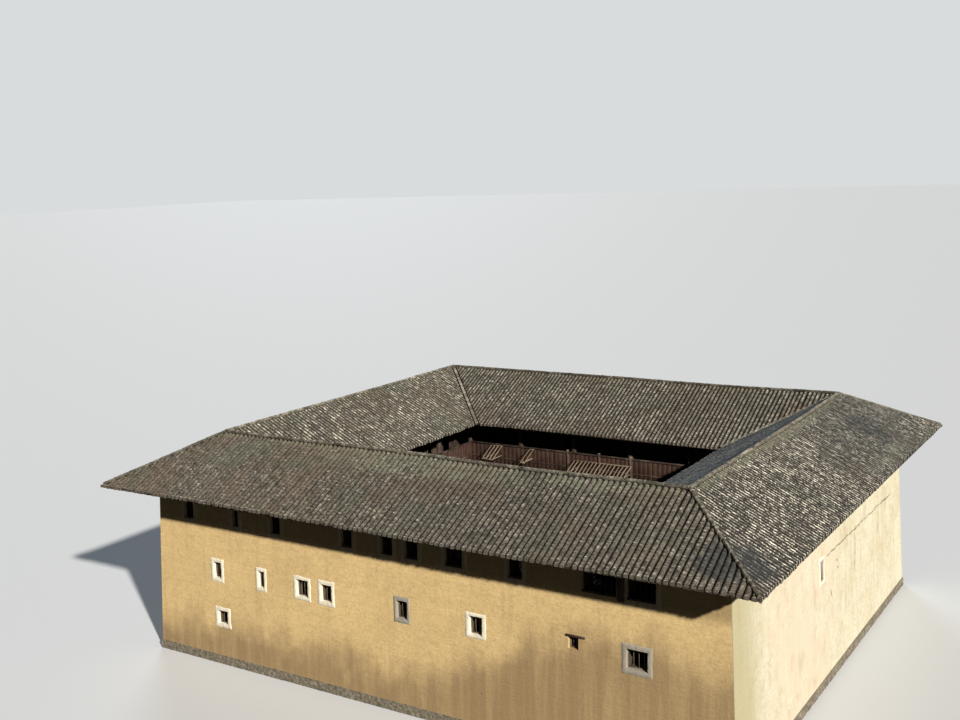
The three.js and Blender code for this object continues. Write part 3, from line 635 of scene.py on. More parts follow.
def front_earth_surface(walls):
    """The ochre earth of the front, grey brown low down on its right, partly from damp stain and partly as a
    painted shadow of plants, with painted shade deep in its windows and a painted shadow of the eave along
    its head. The ends of these walls that show at the side of the house, past the line where the wall's
    outer face leans, are as pale as the right wall."""

    def build(weave):
        made = weave.group(earth_effect(), {
            "Earth": walls.earth, "Second earth": walls.second_earth, "Stain": walls.stain_and_shade,
            "Lift": walls.lift, "Runs": 0.2, "Seams": 0.1,
        })
        place = weave.object_place()
        x, y, z = place.parts()
        # Grey brown low down and to the right: partly damp stain, partly a painted shadow of plants
        cloud = place.noise(0.55, 5.0, 0.62, (1, 1, 0.6), (5, 9, 2))
        low = z - x.eased(0.0, 9.0) * 3.3 - cloud * 4.5
        damp_and_shade = low.eased(-1.4, 0.9, 0.9, 0.0) * made["Runs"].eased(0.3, 0.6, 0.75, 1.0)
        base = made["Color"].mixed(walls.stain_and_shade, damp_and_shade)
        # Painted shadow of the eave: the earth is darker from this height up
        base = base.shaded((0.58, 0.57, 0.57), z.eased(EAVE_SHADOW_HEIGHT - 0.3, EAVE_SHADOW_HEIGHT + 0.3))
        # Painted shade deep in the reveals of the front windows
        deep = (WALL_FOOT_X - abs(x)).least(WALL_FOOT_Y - abs(y)) - (z - WALL_FOOT_Z) * WALL_LEAN
        window_shade = deep.eased(WINDOW_SHADE_DEPTH, WINDOW_SHADE_DEPTH + 0.06, 0.0, 0.9) * y.eased(-10.0, -8.0, 1.0, 0.0)
        line = WALL_FOOT_X + WALL_LEAN * WALL_FOOT_Z
        side = (z * WALL_LEAN + x).eased(line - 0.05, line - 0.01)
        return base.mixed(walls.window_shade, window_shade).mixed(pale_earth(weave, walls)[0], side), 0.95, made["Height"]

    return surface("front rammed earth", build, 0.03)


# Cracks in the right wall: both ends as places along the wall and heights, and half the width
CRACKS = (
    ((-1.1, 5.97), (10.95, 5.86), 0.07),
    ((3.76, 5.8), (3.56, 3.58), 0.09),
    ((8.22, 6.19), (8.05, 4.19), 0.1),
    ((-0.61, 4.35), (-0.19, 3.63), 0.08),
)
# Small dark holes in that wall: place along it and height
HOLES = ((0.62, 5.31), (0.75, 4.93))


def crack_mask(y, z, wander, crack):
    """1 in a crack that runs straight from end to end but for a wander, 0 away from it."""
    (y0, z0), (y1, z1), half = crack
    length = math.hypot(y1 - y0, z1 - z0)
    way_y, way_z = (y1 - y0) / length, (z1 - z0) / length
    along = (y - y0) * way_y + (z - z0) * way_z
    across = (y - y0) * way_z - (z - z0) * way_y + wander
    return across.band(0.0, half) * along.eased(0.0, 0.4) * along.eased(length - 0.5, length, 1.0, 0.0)


def pale_earth_surface(walls):
    """The right wall's paler earth with its cracks: a level one at the third floor and others that run
    down."""

    def build(weave):
        base, height = pale_earth(weave, walls)
        place = weave.object_place()
        _, y, z = place.parts()
        wander = place.noise(1.4, 4.0, 0.6) * 0.3 - 0.15
        cracked = y * 0.0
        for crack in CRACKS:
            cracked = cracked.most(crack_mask(y, z, wander, crack))
        cracked = cracked * place.noise(3.0).eased(0.35, 0.6, 0.3, 0.9)
        for hole_y, hole_z in HOLES:
            aside, above = y - hole_y, z - hole_z
            cracked = cracked.most((aside * aside + above * above).root().eased(0.05, 0.09, 0.8, 0.0))
        return base.shaded((0.2, 0.17, 0.13), cracked), 0.94, height - cracked

    return surface("pale rammed earth", build, 0.03)


def wood_effect():
    """Sawn softwood: grain drawn out along the bar on the uv map, and a tone of its own for each bar."""

    def build(weave, given):
        streaks = weave.uv_place().noise(1.0, 5.0, 0.65, (26.0, 1.1, 1.0))
        fine = weave.uv_place().noise(1.0, 3.0, 0.6, (160.0, 5.0, 1.0))
        blotch = weave.object_place().noise(1.6, 4.0, 0.6)
        base = streaks.eased(0.3, 0.72).between(given["Dark"], given["Light"])
        base = base.mixed(given["Grey"], blotch.eased(0.4, 0.7) * given["Bleach"])
        base = base.shaded((0.38, 0.34, 0.31), weave.tone() * 0.55)
        return {"Color": base, "Height": fine * 0.4 + streaks, "Blotch": blotch}

    return effect("sawn wood", ("Light", "Dark", "Grey"), ("Bleach",), build)


def wood_surface(name, light, dark, grey, bleach):
    def build(weave):
        made = weave.group(wood_effect(), {"Light": light, "Dark": dark, "Grey": grey, "Bleach": bleach})
        return made["Color"], made["Blotch"].eased(0.3, 0.8, 0.68, 0.9), made["Height"]

    return surface(name, build, 0.0025)


def stone_surface(name, light, dark, moss):
    """Rubble and dressed stone: a mottled grey brown with moss in its hollows."""

    def build(weave):
        place = weave.object_place()
        mottle = place.noise(5.5, 6.0, 0.68)
        fine = place.noise(48.0, 4.0, 0.7)
        green = place.noise(0.9, 4.0, 0.6)
        base = mottle.eased(0.3, 0.7).between(dark, light)
        base = base.shaded((0.5, 0.48, 0.45), weave.tone() * 0.5)
        base = base.mixed(moss, green.eased(0.52, 0.75) * 0.45)
        return base, fine.eased(0.2, 0.8, 0.82, 0.97), fine * 0.25 + mottle

    return surface(name, build, 0.012)


def lime_surface(name, clean, grimy):
    """Hand-laid lime or mud plaster: trowel swirls and grime that has run down."""

    def build(weave):
        place = weave.object_place()
        trowel = place.noise(1.0, 5.0, 0.65, (4.0, 4.0, 6.5))
        runs = place.noise(1.0, 4.0, 0.6, (9.0, 9.0, 0.8))
        base = (runs.eased(0.42, 0.75) * 0.6).between(clean, grimy)
        base = base.mixed(grimy, trowel.eased(0.5, 0.75) * 0.45)
        return base, trowel.eased(0.3, 0.7, 0.82, 0.95), place.noise(42.0, 3.0, 0.6) * 0.3 + trowel

    return surface(name, build, 0.012)


# Roof

# Section across a row of tiles: places within the row and the share of the cover's height there
ROW_PHASES = np.array([0.0, 0.06, 0.25, 0.51, 0.7, 0.76])
ROW_HEIGHTS = np.array([0.0, 0.64, 1.0, 1.0, 0.64, 0.0])
# How far down its course a tile reaches, how far the tiles sink into the roof's plane as a share of their
# rise, and how deep the skin of tiles goes
TILE_REACH = 0.93
TILE_SINK = 0.7
SKIN_DEPTH = 0.045
# How unevenly the tiles lie: the most that a row is shifted down the slope, as a share of a course, the usual
# lift of a tile and of a row, and the usual sway of a row or a cap, with the pace of a row's waves
ROW_SHIFT = 0.4
TILE_LIFT = 0.005
ROW_LIFT = 0.006
SWAY = 0.009
SWAY_PACE = 1.4
# How far the pans stop short of the covers at an eave
PAN_SHORT = 0.05
# How far rows turn out at a corner, over how much of the slope's run and over how much of the eave
FAN_SHIFT = 0.14
FAN_RUN = 1.8
FAN_REACH = 3.0
# How far the tiles stop short of the line of a valley, and the half width of the strip along it
VALLEY_CUT = 0.23
STRIP_HALF = 0.08


def smooth_step(value, start, end):
    """Rises from 0 to 1 between two values, level at both: 3 t^2 - 2 t^3."""
    share = np.clip((value - start) / (end - start), 0, 1)
    return share * share * (3 - 2 * share)


def fanned(row_place, run, half):
    """How far rows of tiles turn out towards a corner: the shift is the product of one smooth step down
    the last stretch of the slope and one along the last stretch of the eave."""
    corner = half + OUTER_RUN
    down = smooth_step(run, OUTER_RUN - FAN_RUN, OUTER_RUN)
    return FAN_SHIFT * down * smooth_step(np.abs(row_place), corner - FAN_REACH, corner)


def row_top(row_place, half):
    """Run at which a row of an outer slope leaves the hip or the ridge, found by repeating run = distance
    past the ridge's end + the row's shift at that run."""
    past = np.abs(row_place) - half
    top = past
    for _ in range(12):
        top = past + fanned(row_place, top, half)
    return np.maximum(top, 0)


def tiled_slope(name, side, outer, roof, seed, finish):
    """One slope of clay tiles as a closed skin. Height over the slope's plane is the sum of the row's
    rounded cover, the rise of each course towards its lower edge, a small lift for each tile and the
    roof's settling. Each row sways along the slope by a sine of its own."""
    half, ridge_out = RIDGE_HALF[side], RIDGE_OUT[side]
    run_length = OUTER_RUN if outer else INNER_RUN
    reach = half + run_length if outer else half
    draw = np.random.default_rng(seed)
    rows = round(2 * reach / ROW_PITCHES.get(name, roof.row_pitch))
    courses = round(run_length / roof.course)
    width, course = 2 * reach / rows, run_length / courses
    row = np.append(np.repeat(np.arange(rows), len(ROW_PHASES)), rows - 1)
    phase = np.append(np.tile(ROW_PHASES, rows), 1.0)
    cover = np.append(np.tile(ROW_HEIGHTS, rows), 0.0)
    row_place = -reach + (row + phase) * width
    step = np.tile([0.0, 1.0], courses)
    course_place = np.repeat(np.arange(courses), 2) + step * TILE_REACH
    ragged = draw.normal(0, roof.ragged, (rows, courses + 1))
    ragged = ragged + draw.uniform(-ROW_SHIFT, ROW_SHIFT, (rows, 1)) * course
    ragged[:, 0] = 0
    ragged[:, -1] = -np.abs(draw.normal(0, 2.5 * roof.ragged, rows)) - 0.004
    edge = (np.arange(2 * courses) + 1) // 2
    run = course_place * course + ragged[row][:, edge]
    run[:, -1] -= np.where(cover > 0, 0, PAN_SHORT)
    lift = draw.normal(0, TILE_LIFT, (rows, courses))[row][:, np.arange(2 * courses) // 2]
    lift = lift + draw.normal(0, ROW_LIFT, rows)[row][:, None]
    sway, turn = draw.normal(0, SWAY, rows)[row], draw.uniform(0, 6, rows)[row]
    place = row_place[:, None] + sway[:, None] * np.sin(SWAY_PACE * run + turn[:, None])
    if outer:
        top = np.minimum(row_top(row_place, half), run_length)[:, None]
        shown = run > top
        run = np.maximum(run, top)
        along = np.sign(place) * np.minimum(np.abs(place) + fanned(place, run, half), half + run)
    else:
        foot = np.maximum(half - np.abs(place) - VALLEY_CUT, 0)
        shown = run < foot
        run = np.minimum(run, foot)
        along = place
    out = ridge_out + run if outer else ridge_out - run
    points = placed(side, along, out, RIDGE_Z - ROOF_FALL * run)
    relief = roof.tile_rise * cover[:, None] + np.where(shown, roof.tile_step * step + lift, 0)
    points[..., 2] += relief - roof.tile_rise * TILE_SINK + settled(points)
    uv = paired((row + phase)[:, None], course_place)
    floor = points[:, [-1, 0]].copy()
    floor[..., 2] = RIDGE_Z - ROOF_FALL * run[:, [-1, 0]] - roof.tile_rise - SKIN_DEPTH + settled(floor)
    loops = np.concatenate([points, floor], axis=1)
    uv = np.concatenate([uv, uv[:, [-1, 0]] * [1, 0] + [0, 0.02]], axis=1)
    return piece(name + "_tiles", [lofted(loops, uv)], finish, smooth=True)


def arch_loop(half_width, rise, drop, count=9):
    """A round-backed cap's cross section: an arch from side to side and a flat base, as across and up
    values."""
    turn = np.linspace(0, np.pi, count)
    across = np.concatenate([np.cos(turn) * half_width, [-half_width, half_width]])
    up = np.concatenate([np.sin(turn) * rise, [-drop, -drop]])
    return across, up


def cap_run(start, end, across_way, width, rise, roof, seed):
    """A row of overlapping cap tiles from start to end: the arch is carried along the line, and grows by
    a step in each tile towards its lower end."""
    start, end = np.asarray(start, float), np.asarray(end, float)
    length = np.linalg.norm(end - start)
    count = max(2, round(length / roof.cap_length))
    draw = np.random.default_rng(seed)
    joints = np.arange(count + 1) / count
    joints[1:-1] += draw.normal(0, 0.09, count - 1) / count
    share = np.stack([joints[:-1] + 0.02 / count, joints[1:]], axis=1).ravel()
    grown = np.tile([0.88, 1.0], count) * np.repeat(1 - draw.uniform(0, 0.1, count), 2)
    across, up = arch_loop(width / 2, 1.0, 1.1)
    centre = start + (end - start) * share[:, None]
    sway = np.repeat(draw.normal(0, SWAY, count), 2)
    lean = np.asarray(across_way, float)
    points = centre[:, None] + lean * (across[None] * grown[:, None] + sway[:, None])[..., None]
    points[..., 2] += up[None] * rise * grown[:, None] + settled(points)
    points[..., 2] = np.minimum(points[..., 2], CAP_CROWN)
    around = np.append(np.linspace(0.0, 0.8, len(across) - 2), [0.8, 0.0])
    tile_count = np.repeat(np.arange(count), 2) + np.tile([0.0, 0.96], count)
    return lofted(points, paired(around, tile_count[:, None]) + [seed, 0])


# How dark the caps of each ridge are
CAP_TONES = {"front": 0.55, "right": 0.12, "back": 0.6, "left": 0.0}


def ridge_caps(roof, finish):
    """Cap tiles along the four ridges and down the four hips, in place of the frame's band."""
    parts, shades = [], []
    for number, side in enumerate(SIDES):
        half, out = RIDGE_HALF[side], RIDGE_OUT[side]
        start, end = placed(side, np.array([-half, half]), out, RIDGE_Z)
        across = placed(side, 0.0, 1.0, 0.0)
        parts.append(cap_run(start, end, across, roof.cap_width, CAP_CROWN - RIDGE_Z, roof, 60 + number))
        run = OUTER_RUN - roof.hip_width / 2
        foot = placed(side, half + run, out + run, RIDGE_Z - ROOF_FALL * run)
        level = placed(side, 1.0, -1.0, 0.0) / math.sqrt(2)
        parts.append(cap_run(end, foot, level, roof.hip_width, roof.hip_rise, roof, 70 + number))
        shades += [CAP_TONES[side], 0.45]
    tone = np.repeat(shades, [len(part[0]) for part in parts])
    caps = piece("ridge_and_hip_caps", parts, finish, tone, smooth=True)
    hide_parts("ridge_and_hips")


def valley_strips(roof, finish):
    """A pale strip of clay down each inner corner, raised between two gutters. Its section follows both
    slopes, and its low flanges lie under the ends of the tiles."""
    parts = []
    for number, side in enumerate(SIDES):
        half, out = RIDGE_HALF[side], RIDGE_OUT[side]
        runs = np.linspace(0.15, INNER_RUN - 0.02, 60)
        draw = np.random.default_rng(90 + number)
        half_strip = STRIP_HALF * (1 + 0.08 * draw.normal(0, 1, len(runs)))[:, None]
        flange = np.full_like(half_strip, roof.valley_width / 2)
        middle, foot = 0 * flange, half_strip + 0.01
        section = [-flange, -foot, -half_strip, middle, half_strip, foot, flange, middle]
        offset = np.concatenate(section, axis=1) / math.sqrt(2)
        above = np.array([-0.06, -0.06, 0.05, 0.06, 0.05, -0.06, -0.06, -0.12])
        along = (half - runs)[:, None] + offset
        away = (out - runs)[:, None] - offset
        height = (RIDGE_Z - ROOF_FALL * runs)[:, None] + np.abs(offset) * ROOF_FALL + above[None]
        points = placed(side, along, away, height)
        points[..., 2] += settled(points)
        # The flanges take the tiles' dark pan colour: painted shade, with some dirt, in the two gutters
        shade = np.where(above > 0, 0.4, 0.95)
        parts.append(lofted(points, paired(shade, (runs / roof.course)[:, None])))
    piece("valley_strips", parts, finish, smooth=True)


# How far the bars under a slope stop short of the eave and of the ridge, and the shortest bar
EAVE_GAP = 0.06
RIDGE_GAP = 0.03
SHORTEST_BAR = 0.25
# Roof boards: their pitch, the gap between two, how deep they lie under the tiles and their thickness
BOARD_PITCH = 0.22
BOARD_GAP = 0.002
BOARD_DROP = 0.05
BOARD_THICK = 0.025
RAFTER_WIDTH = 0.075
# The lath along an eave: its depth, how far in from the eave it runs, and how far below the slope's plane
LATH_DEEP = 0.1
LATH_INSET = 0.09
LATH_DROP = 0.165


def slope_bars(side, outer, places, width, top, bottom):
    """Bars down a slope, one at each place along it, between two depths under the plane of the slope."""
    half, ridge_out = RIDGE_HALF[side], RIDGE_OUT[side]
    past = np.abs(places) - half
    if outer:
        first, last = np.maximum(past, 0) + RIDGE_GAP, OUTER_RUN - EAVE_GAP + 0 * past
        sign = 1
    else:
        first, last = RIDGE_GAP + 0 * past, np.minimum(-past, INNER_RUN - EAVE_GAP)
        sign = -1
    kept = last - first > SHORTEST_BAR
    middle = (top + bottom) / 2
    starts = placed(side, places, ridge_out + sign * first, RIDGE_Z - ROOF_FALL * first - middle)
    ends = placed(side, places, ridge_out + sign * last, RIDGE_Z - ROOF_FALL * last - middle)
    plumb = (bottom - top) / math.hypot(1, ROOF_FALL)
    return beams(starts[kept], ends[kept], width, plumb, ALONG[side])


def under_roof(roof, finish):
    """Rafters and the thin boards on them under every slope, and a fascia lath along every eave."""
    rafters, boards, laths = [], [], []
    board_top = roof.tile_rise + BOARD_DROP
    rafter_top = board_top + BOARD_THICK
    for side in SIDES:
        for outer in (True, False):
            reach = RIDGE_HALF[side] + (OUTER_RUN if outer else 0)
            places = np.arange(-reach + 0.2, reach, roof.rafter_spacing)
            rafters.append(slope_bars(side, outer, places, RAFTER_WIDTH, rafter_top, ROOF_DEPTH))
            close = np.arange(-reach + BOARD_PITCH / 2, reach, BOARD_PITCH)
            boards.append(slope_bars(side, outer, close, BOARD_PITCH - BOARD_GAP, board_top, rafter_top))
            run = (OUTER_RUN if outer else INNER_RUN) - LATH_INSET
            shift = run if outer else -run
            half = RIDGE_HALF[side] + shift
            height = RIDGE_Z - ROOF_FALL * run - LATH_DROP
            out = RIDGE_OUT[side] + shift
            laths.append(level_bars(side, -half, half, out, height, LATH_DEEP, BOARD_THICK))
    barwork("rafters_and_roof_boards", rafters + boards + laths, finish, 12, 0)


# Earth walls and windows

def wall_face(side, height):
    """Distance from the middle of the plan to the outer face of a wall, which leans in as it rises."""
    return WALL_FOOT[side] - WALL_LEAN * (height - WALL_FOOT_Z)


# Sill and head of each row of windows
THIRD_ROW = (7.19, 8.14)
SECOND_ROW = (4.38, 5.23)
SMALL_ROW = (4.7, 5.22)
GROUND_ROW = (2.07, 2.78)
RIGHT_ROW = (5.0, 6.04)

# Each window: place along its side, width, and the finish of the plaster round it
FRONT_THIRD = (
    (-13.165, 0.69, "mud"), (-9.975, 0.415, "mud"), (-7.375, 0.66, "mud"), (-3.035, 0.67, "mud"),
    (-0.76, 0.695, "mud"), (0.59, 0.74, "mud"), (2.82, 0.945, "mud"), (5.88, 0.735, "mud"),
    (9.745, 1.525, "bare"), (11.58, 1.28, "mud"),
)
FRONT_SECOND = (
    (-11.33, 0.55, "lime"), (-8.4, 0.425, "lime"), (-5.805, 0.755, "lime"), (-4.335, 0.69, "lime"),
    (0.02, 0.635, "worn"), (3.91, 0.7, "lime"), (11.41, 0.96, "worn"),
)
FRONT_SMALL = ((8.6, 0.475, "bare"),)
FRONT_GROUND = ((-11.08, 0.7, "lime"),)
RIGHT_SECOND = ((-1.76, 0.56, "frame"),)
BACK_ROWS = tuple((place, 0.67, "mud") for place in (-10.95, -7.3, -3.65, 0.0, 3.65, 7.3, 10.95))
LEFT_THIRD = tuple((place, 0.67, "mud") for place in (-8.4, -4.2, 0.0, 4.2, 8.4))
LEFT_SECOND = tuple((place, 0.67, "lime") for place in (-6.3, 0.0, 6.3))
WINDOWS = tuple(
    (side, place, width, sill, head, plaster)
    for side, (sill, head), row in (
        ("front", THIRD_ROW, FRONT_THIRD),
        ("front", SECOND_ROW, FRONT_SECOND),
        ("front", SMALL_ROW, FRONT_SMALL),
        ("front", GROUND_ROW, FRONT_GROUND),
        ("right", RIGHT_ROW, RIGHT_SECOND),
        ("back", THIRD_ROW, BACK_ROWS),
        ("back", SECOND_ROW, BACK_ROWS),
        ("left", THIRD_ROW, LEFT_THIRD),
        ("left", SECOND_ROW, LEFT_SECOND),
    )
    for place, width, plaster in row
)
# How far the plaster reaches past a window, to its sides and up and down, for each finish
PLASTER_MARGINS = {"lime": (0.15, 0.17), "worn": (0.15, 0.19), "mud": (0.2, 0.22), "frame": (0.08, 0.1)}
# How deep behind the wall's face the plaster goes and the frames stand, and the right wall's frame
PLASTER_DEPTH = 0.24
JOINERY_DEPTH = 0.2
FLUSH_DEPTH = 0.035


def square_rim(count):
    """Points round a square of half size 1, evenly spaced, starting at its lower left corner."""
    share = np.arange(count + 1) / count * 4
    way = np.clip(np.stack([share, share - 1, share - 2, share - 3]), 0, 1)
    return np.stack([-1 + 2 * (way[0] - way[2]), -1 + 2 * (way[1] - way[3])], axis=-1)


def plaster_ring(side, place, width, sill, head, plaster, seed):
    """Plaster laid round a window by hand and a little way into it. The section runs from inside the
    reveal out over the edge and across the wall to a ragged rim, whose distance is the margin swelled at
    random."""
    draw = np.random.default_rng(seed)
    rim = square_rim(56)
    count = len(rim) - 1
    middle = (sill + head) / 2
    half = np.array([width, head - sill]) / 2
    margins = np.array(PLASTER_MARGINS[plaster]) * draw.uniform(0.8, 1.25, 2)
    turn = np.arange(count + 1) / count * 2 * np.pi
    ragged = np.zeros(count + 1)
    for n in range(2, 25):
        ragged = ragged + draw.normal(0, 0.06 / math.sqrt(n)) * np.sin(n * turn + draw.uniform(0, 6))
    ragged[-1] = ragged[0]
    wobble = 1 + 0.4 * ragged
    outset = np.array([-0.014, -0.016, 0.25, 0.8, 1.0, 1.0, 0.02])
    proud = np.array([-PLASTER_DEPTH, 0.014, 0.024, 0.018, -0.004, -0.03, -PLASTER_DEPTH])
    reach = np.where(outset[None] >= 0.2, outset[None] * (1 + ragged[:, None]), 0)
    edge = np.where(outset < 0.2, outset, 0)
    spread = half + edge[None, :, None] * wobble[:, None, None] + margins * reach[..., None]
    spot = rim[:, None] * spread
    height = middle + spot[..., 1]
    lumps = 0.006 * swell(spot[..., 0] * 9 + seed, spot[..., 1] * 9, 1.6, seed)
    out = wall_face(side, height) + proud[None] + np.where(proud > 0, lumps, 0)
    points = placed(side, place + spot[..., 0], out, height)
    points[-1] = points[0]
    return lofted(points, paired(turn[:, None], outset), ring=True)


def window_plaster(walls):
    """The plaster round every window that has any, one piece for each finish."""
    finishes = {
        "lime": lime_surface("lime plaster", walls.lime, walls.grimy_lime),
        "worn": lime_surface("worn plaster", walls.worn_lime, walls.stain_and_shade),
        "mud": lime_surface("mud plaster", walls.mud, walls.grimy_mud),
        "frame": lime_surface("lime wash", walls.lime, walls.lime),
    }
    for plaster, finish in finishes.items():
        rings = [plaster_ring(*w, seed=200 + i) for i, w in enumerate(WINDOWS) if w[-1] == plaster]
        piece(plaster + "_window_surrounds", rings, finish, smooth=True)


def window_joinery(timber):
    """Frames set in the window holes, each with upright bars. The frames of the third storey, which lie in the
    eave's shadow, take the rafters' darker timber as painted shade, and the one of the right wall is
    whitewashed."""
    finishes = {
        "pale": wood_surface("window wood", timber.window_light, timber.window_dark, timber.grey, 0.4),
        "under_eave": wood_surface("sooty window wood", timber.rafter_light, timber.rafter_dark, timber.dark, 0.3),
        "white": wood_surface("whitewashed wood", timber.white, timber.grey, timber.grey, 0.3),
    }
    sets = {kind: [] for kind in finishes}
    inset, stile_width, stile_depth, bar_size = 0.03, 0.045, 0.07, 0.022
    for side, place, width, sill, head, plaster in WINDOWS:
        # The third storey's frames are darker as painted shade of the eave
        kind = "white" if plaster == "frame" else "under_eave" if sill == THIRD_ROW[0] else "pale"
        out = wall_face(side, (sill + head) / 2) - (FLUSH_DEPTH if kind == "white" else JOINERY_DEPTH)
        left, right = place - width / 2 + inset, place + width / 2 - inset
        foot, top = sill + inset, head - inset
        levels = np.array([foot, top])
        spots = np.linspace(left, right, max(2, round(width / 0.3)) + 2)[1:-1]
        sets[kind] += [
            uprights(side, np.array([left, right]), out, sill, head, stile_width, stile_depth),
            level_bars(side, left, right, out, levels, stile_width, stile_depth),
            uprights(side, spots, out, foot, top, bar_size, bar_size),
        ]
    for number_of_set, (kind, finish) in enumerate(finishes.items()):
        barwork(kind + "_window_frames", sets[kind], finish, 21 + number_of_set, 0.004)


def shutter_post_and_lintel(timber):
    """A board behind the bars of the right wall's window, a post between the two widest windows and a lintel
    over the small window that has no plaster."""
    place, width, _ = RIGHT_SECOND[0]
    sill, head = RIGHT_ROW
    half = width / 2 + 0.02
    out = wall_face("right", head) - FLUSH_DEPTH - 0.04
    panel = planked("right", out, place - half, place + half, sill + 0.01, head - 0.01, 0.2)
    grey = wood_surface("grey shutter", timber.shutter, timber.grey, timber.shutter, 0.3)
    barwork("right_window_shutter", [panel], grey, 20)
    ninth, tenth = FRONT_THIRD[-2], FRONT_THIRD[-1]
    left, right = ninth[0] + ninth[1] / 2, tenth[0] - tenth[1] / 2
    foot = THIRD_ROW[0] - 0.12
    out = wall_face("front", foot) - 0.02
    post = uprights("front", (left + right) / 2, out, foot, EAVE_BEAM_BASE, right - left - 0.1, 0.12)
    place, width, _ = FRONT_SMALL[0]
    left, right = place - width / 2 - 0.1, place + width / 2 + 0.3
    head = SMALL_ROW[1]
    lintel = level_bars("front", left, right, wall_face("front", head) - 0.03, head + 0.05, 0.1, 0.12)
    barwork("front_post_and_lintel", [post, lintel], timber_finishes(timber)["frame"], 24)


def cobble_cells(p, q, size, seed):
    """Rubble: the nearest and second nearest of one random middle in each square of a grid, and a number
    that stays the same over a stone. A stone is high where these two distances differ much."""
    draw = np.random.default_rng(seed)
    table = draw.uniform(0, 1, (64, 64, 3))
    column, row = np.floor(p / size).astype(int), np.floor(q / size).astype(int)
    first = np.full(p.shape, 9.0)
    second = np.full(p.shape, 9.0)
    stone = np.zeros(p.shape)
    for i in (-1, 0, 1):
        for j in (-1, 0, 1):
            cell = table[(column + i) % 64, (row + j) % 64]
            distance = np.hypot(column + i + cell[..., 0] - p / size, row + j + cell[..., 1] - q / size)
            nearer = distance < first
            second = np.where(nearer, first, np.minimum(second, distance))
            stone = np.where(nearer, cell[..., 2], stone)
            first = np.where(nearer, distance, first)
    return second - first, stone


# Rubble: usual size of a stone, how far out the joints stand, how much further the stones, and the spacing of
# the points along and up the face
COBBLE = 0.23
COBBLE_LEAST = 0.006
COBBLE_BULGE = 0.036
COBBLE_STEP_ALONG = 0.055
COBBLE_STEP_UP = 0.045


def rubble_run(side, start, end, top, seed):
    """A stretch of rubble footing from the ground to a height: the section goes up the face, back over
    the ledge and down inside, and each stone stands out by the difference of its two cell distances. The
    run's ends at a corner are mitred."""
    foot_half, foot_out = WALL_FOOT[ACROSS[side]], WALL_FOOT[side]
    along = np.linspace(start, end, max(4, round((end - start) / COBBLE_STEP_ALONG)) + 1)[:, None]
    rise = np.linspace(0, top, max(4, round(top / COBBLE_STEP_UP)) + 1)
    gap, stone = cobble_cells(along + 0 * rise, rise * 1.25 + 3 + 0 * along, COBBLE, seed)
    bulge = COBBLE_LEAST + COBBLE_BULGE * np.clip(gap / 0.34, 0, 1) ** 0.55
    face = foot_out + FOOT_LEAN - WALL_LEAN * rise + bulge
    out = np.concatenate([face, INNER_FACE[side] + 0 * along, INNER_FACE[side] + 0 * along], axis=1)
    height = np.concatenate([rise + 0 * bulge, top - 0.004 + 0 * along, 0 * along], axis=1)
    mitre = (foot_half + FOOT_LEAN + out - foot_out) / (foot_half + FOOT_LEAN)
    near_corner = np.where(np.abs(along) > foot_half - 1.2, 1.0, 0.0)
    points = placed(side, along * (1 + near_corner * (mitre - 1)), out, height)
    return lofted(points, np.stack([np.concatenate([stone, stone[:, [-1, 0]]], axis=1), height], axis=-1))


def footing(finish):
    """The rubble base under all four walls, low in the gateway. Each point's tone is its stone's number."""
    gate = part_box("gate_surround")[1].x
    reach_x, reach_y = WALL_FOOT_X + FOOT_LEAN, WALL_FOOT_Y + FOOT_LEAN
    runs = [
        rubble_run("front", -reach_x, reach_x, WALL_FOOT_Z, 31),
        rubble_run("right", -reach_y, reach_y, WALL_FOOT_Z, 32),
        rubble_run("left", -reach_y, reach_y, WALL_FOOT_Z, 33),
        rubble_run("back", -reach_x, -gate, WALL_FOOT_Z, 34),
        rubble_run("back", gate, reach_x, WALL_FOOT_Z, 35),
        rubble_run("back", -gate, gate, GROUND_LEVEL, 36),
    ]
    points, faces, uv = merged(runs)
    tone = np.zeros(len(points))
    tone[faces.ravel()] = uv[..., 0].ravel()
    base = piece("rubble_footing", runs, finish, tone, smooth=True)
    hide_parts("stone_footing")


# Timber inside and under the eaves

RAIL_HEIGHT = 1.02
BOARDS_BELOW_FLOOR = 0.39
BEAM_DEPTH = 0.35
PLATE_DEPTH = 0.24
FLOOR_DEPTH = 0.16
FLOOR_BOARD = 0.036


def gallery_frames(finish):
    """Posts on every bay line, beams under both upper galleries and a plate under the roof."""
    bars = []
    for side, (half, out, bays) in GALLERY.items():
        centre = out + POST / 2
        corner = half + POST / 2
        places = np.linspace(-corner, corner, bays + 1)
        if side in LONG_SIDES:
            places = places[1:-1]
        plate_top = RIDGE_Z - ROOF_FALL * (RIDGE_OUT[side] - out) - ROOF_DEPTH
        bars.append(uprights(side, places, centre, GROUND_LEVEL, plate_top, POST, POST - 0.01))
        for top, deep in ((SECOND_LEVEL, BEAM_DEPTH), (THIRD_LEVEL, BEAM_DEPTH), (plate_top, PLATE_DEPTH)):
            bars.append(level_bars(side, -half, half, centre, top - deep / 2, deep, POST - 0.03))
    frames = barwork("gallery_posts_and_beams", bars, finish, 14, 0.012)
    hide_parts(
        "gallery_frame_front", "gallery_frame_back", "gallery_frame_left", "gallery_frame_right"
    )


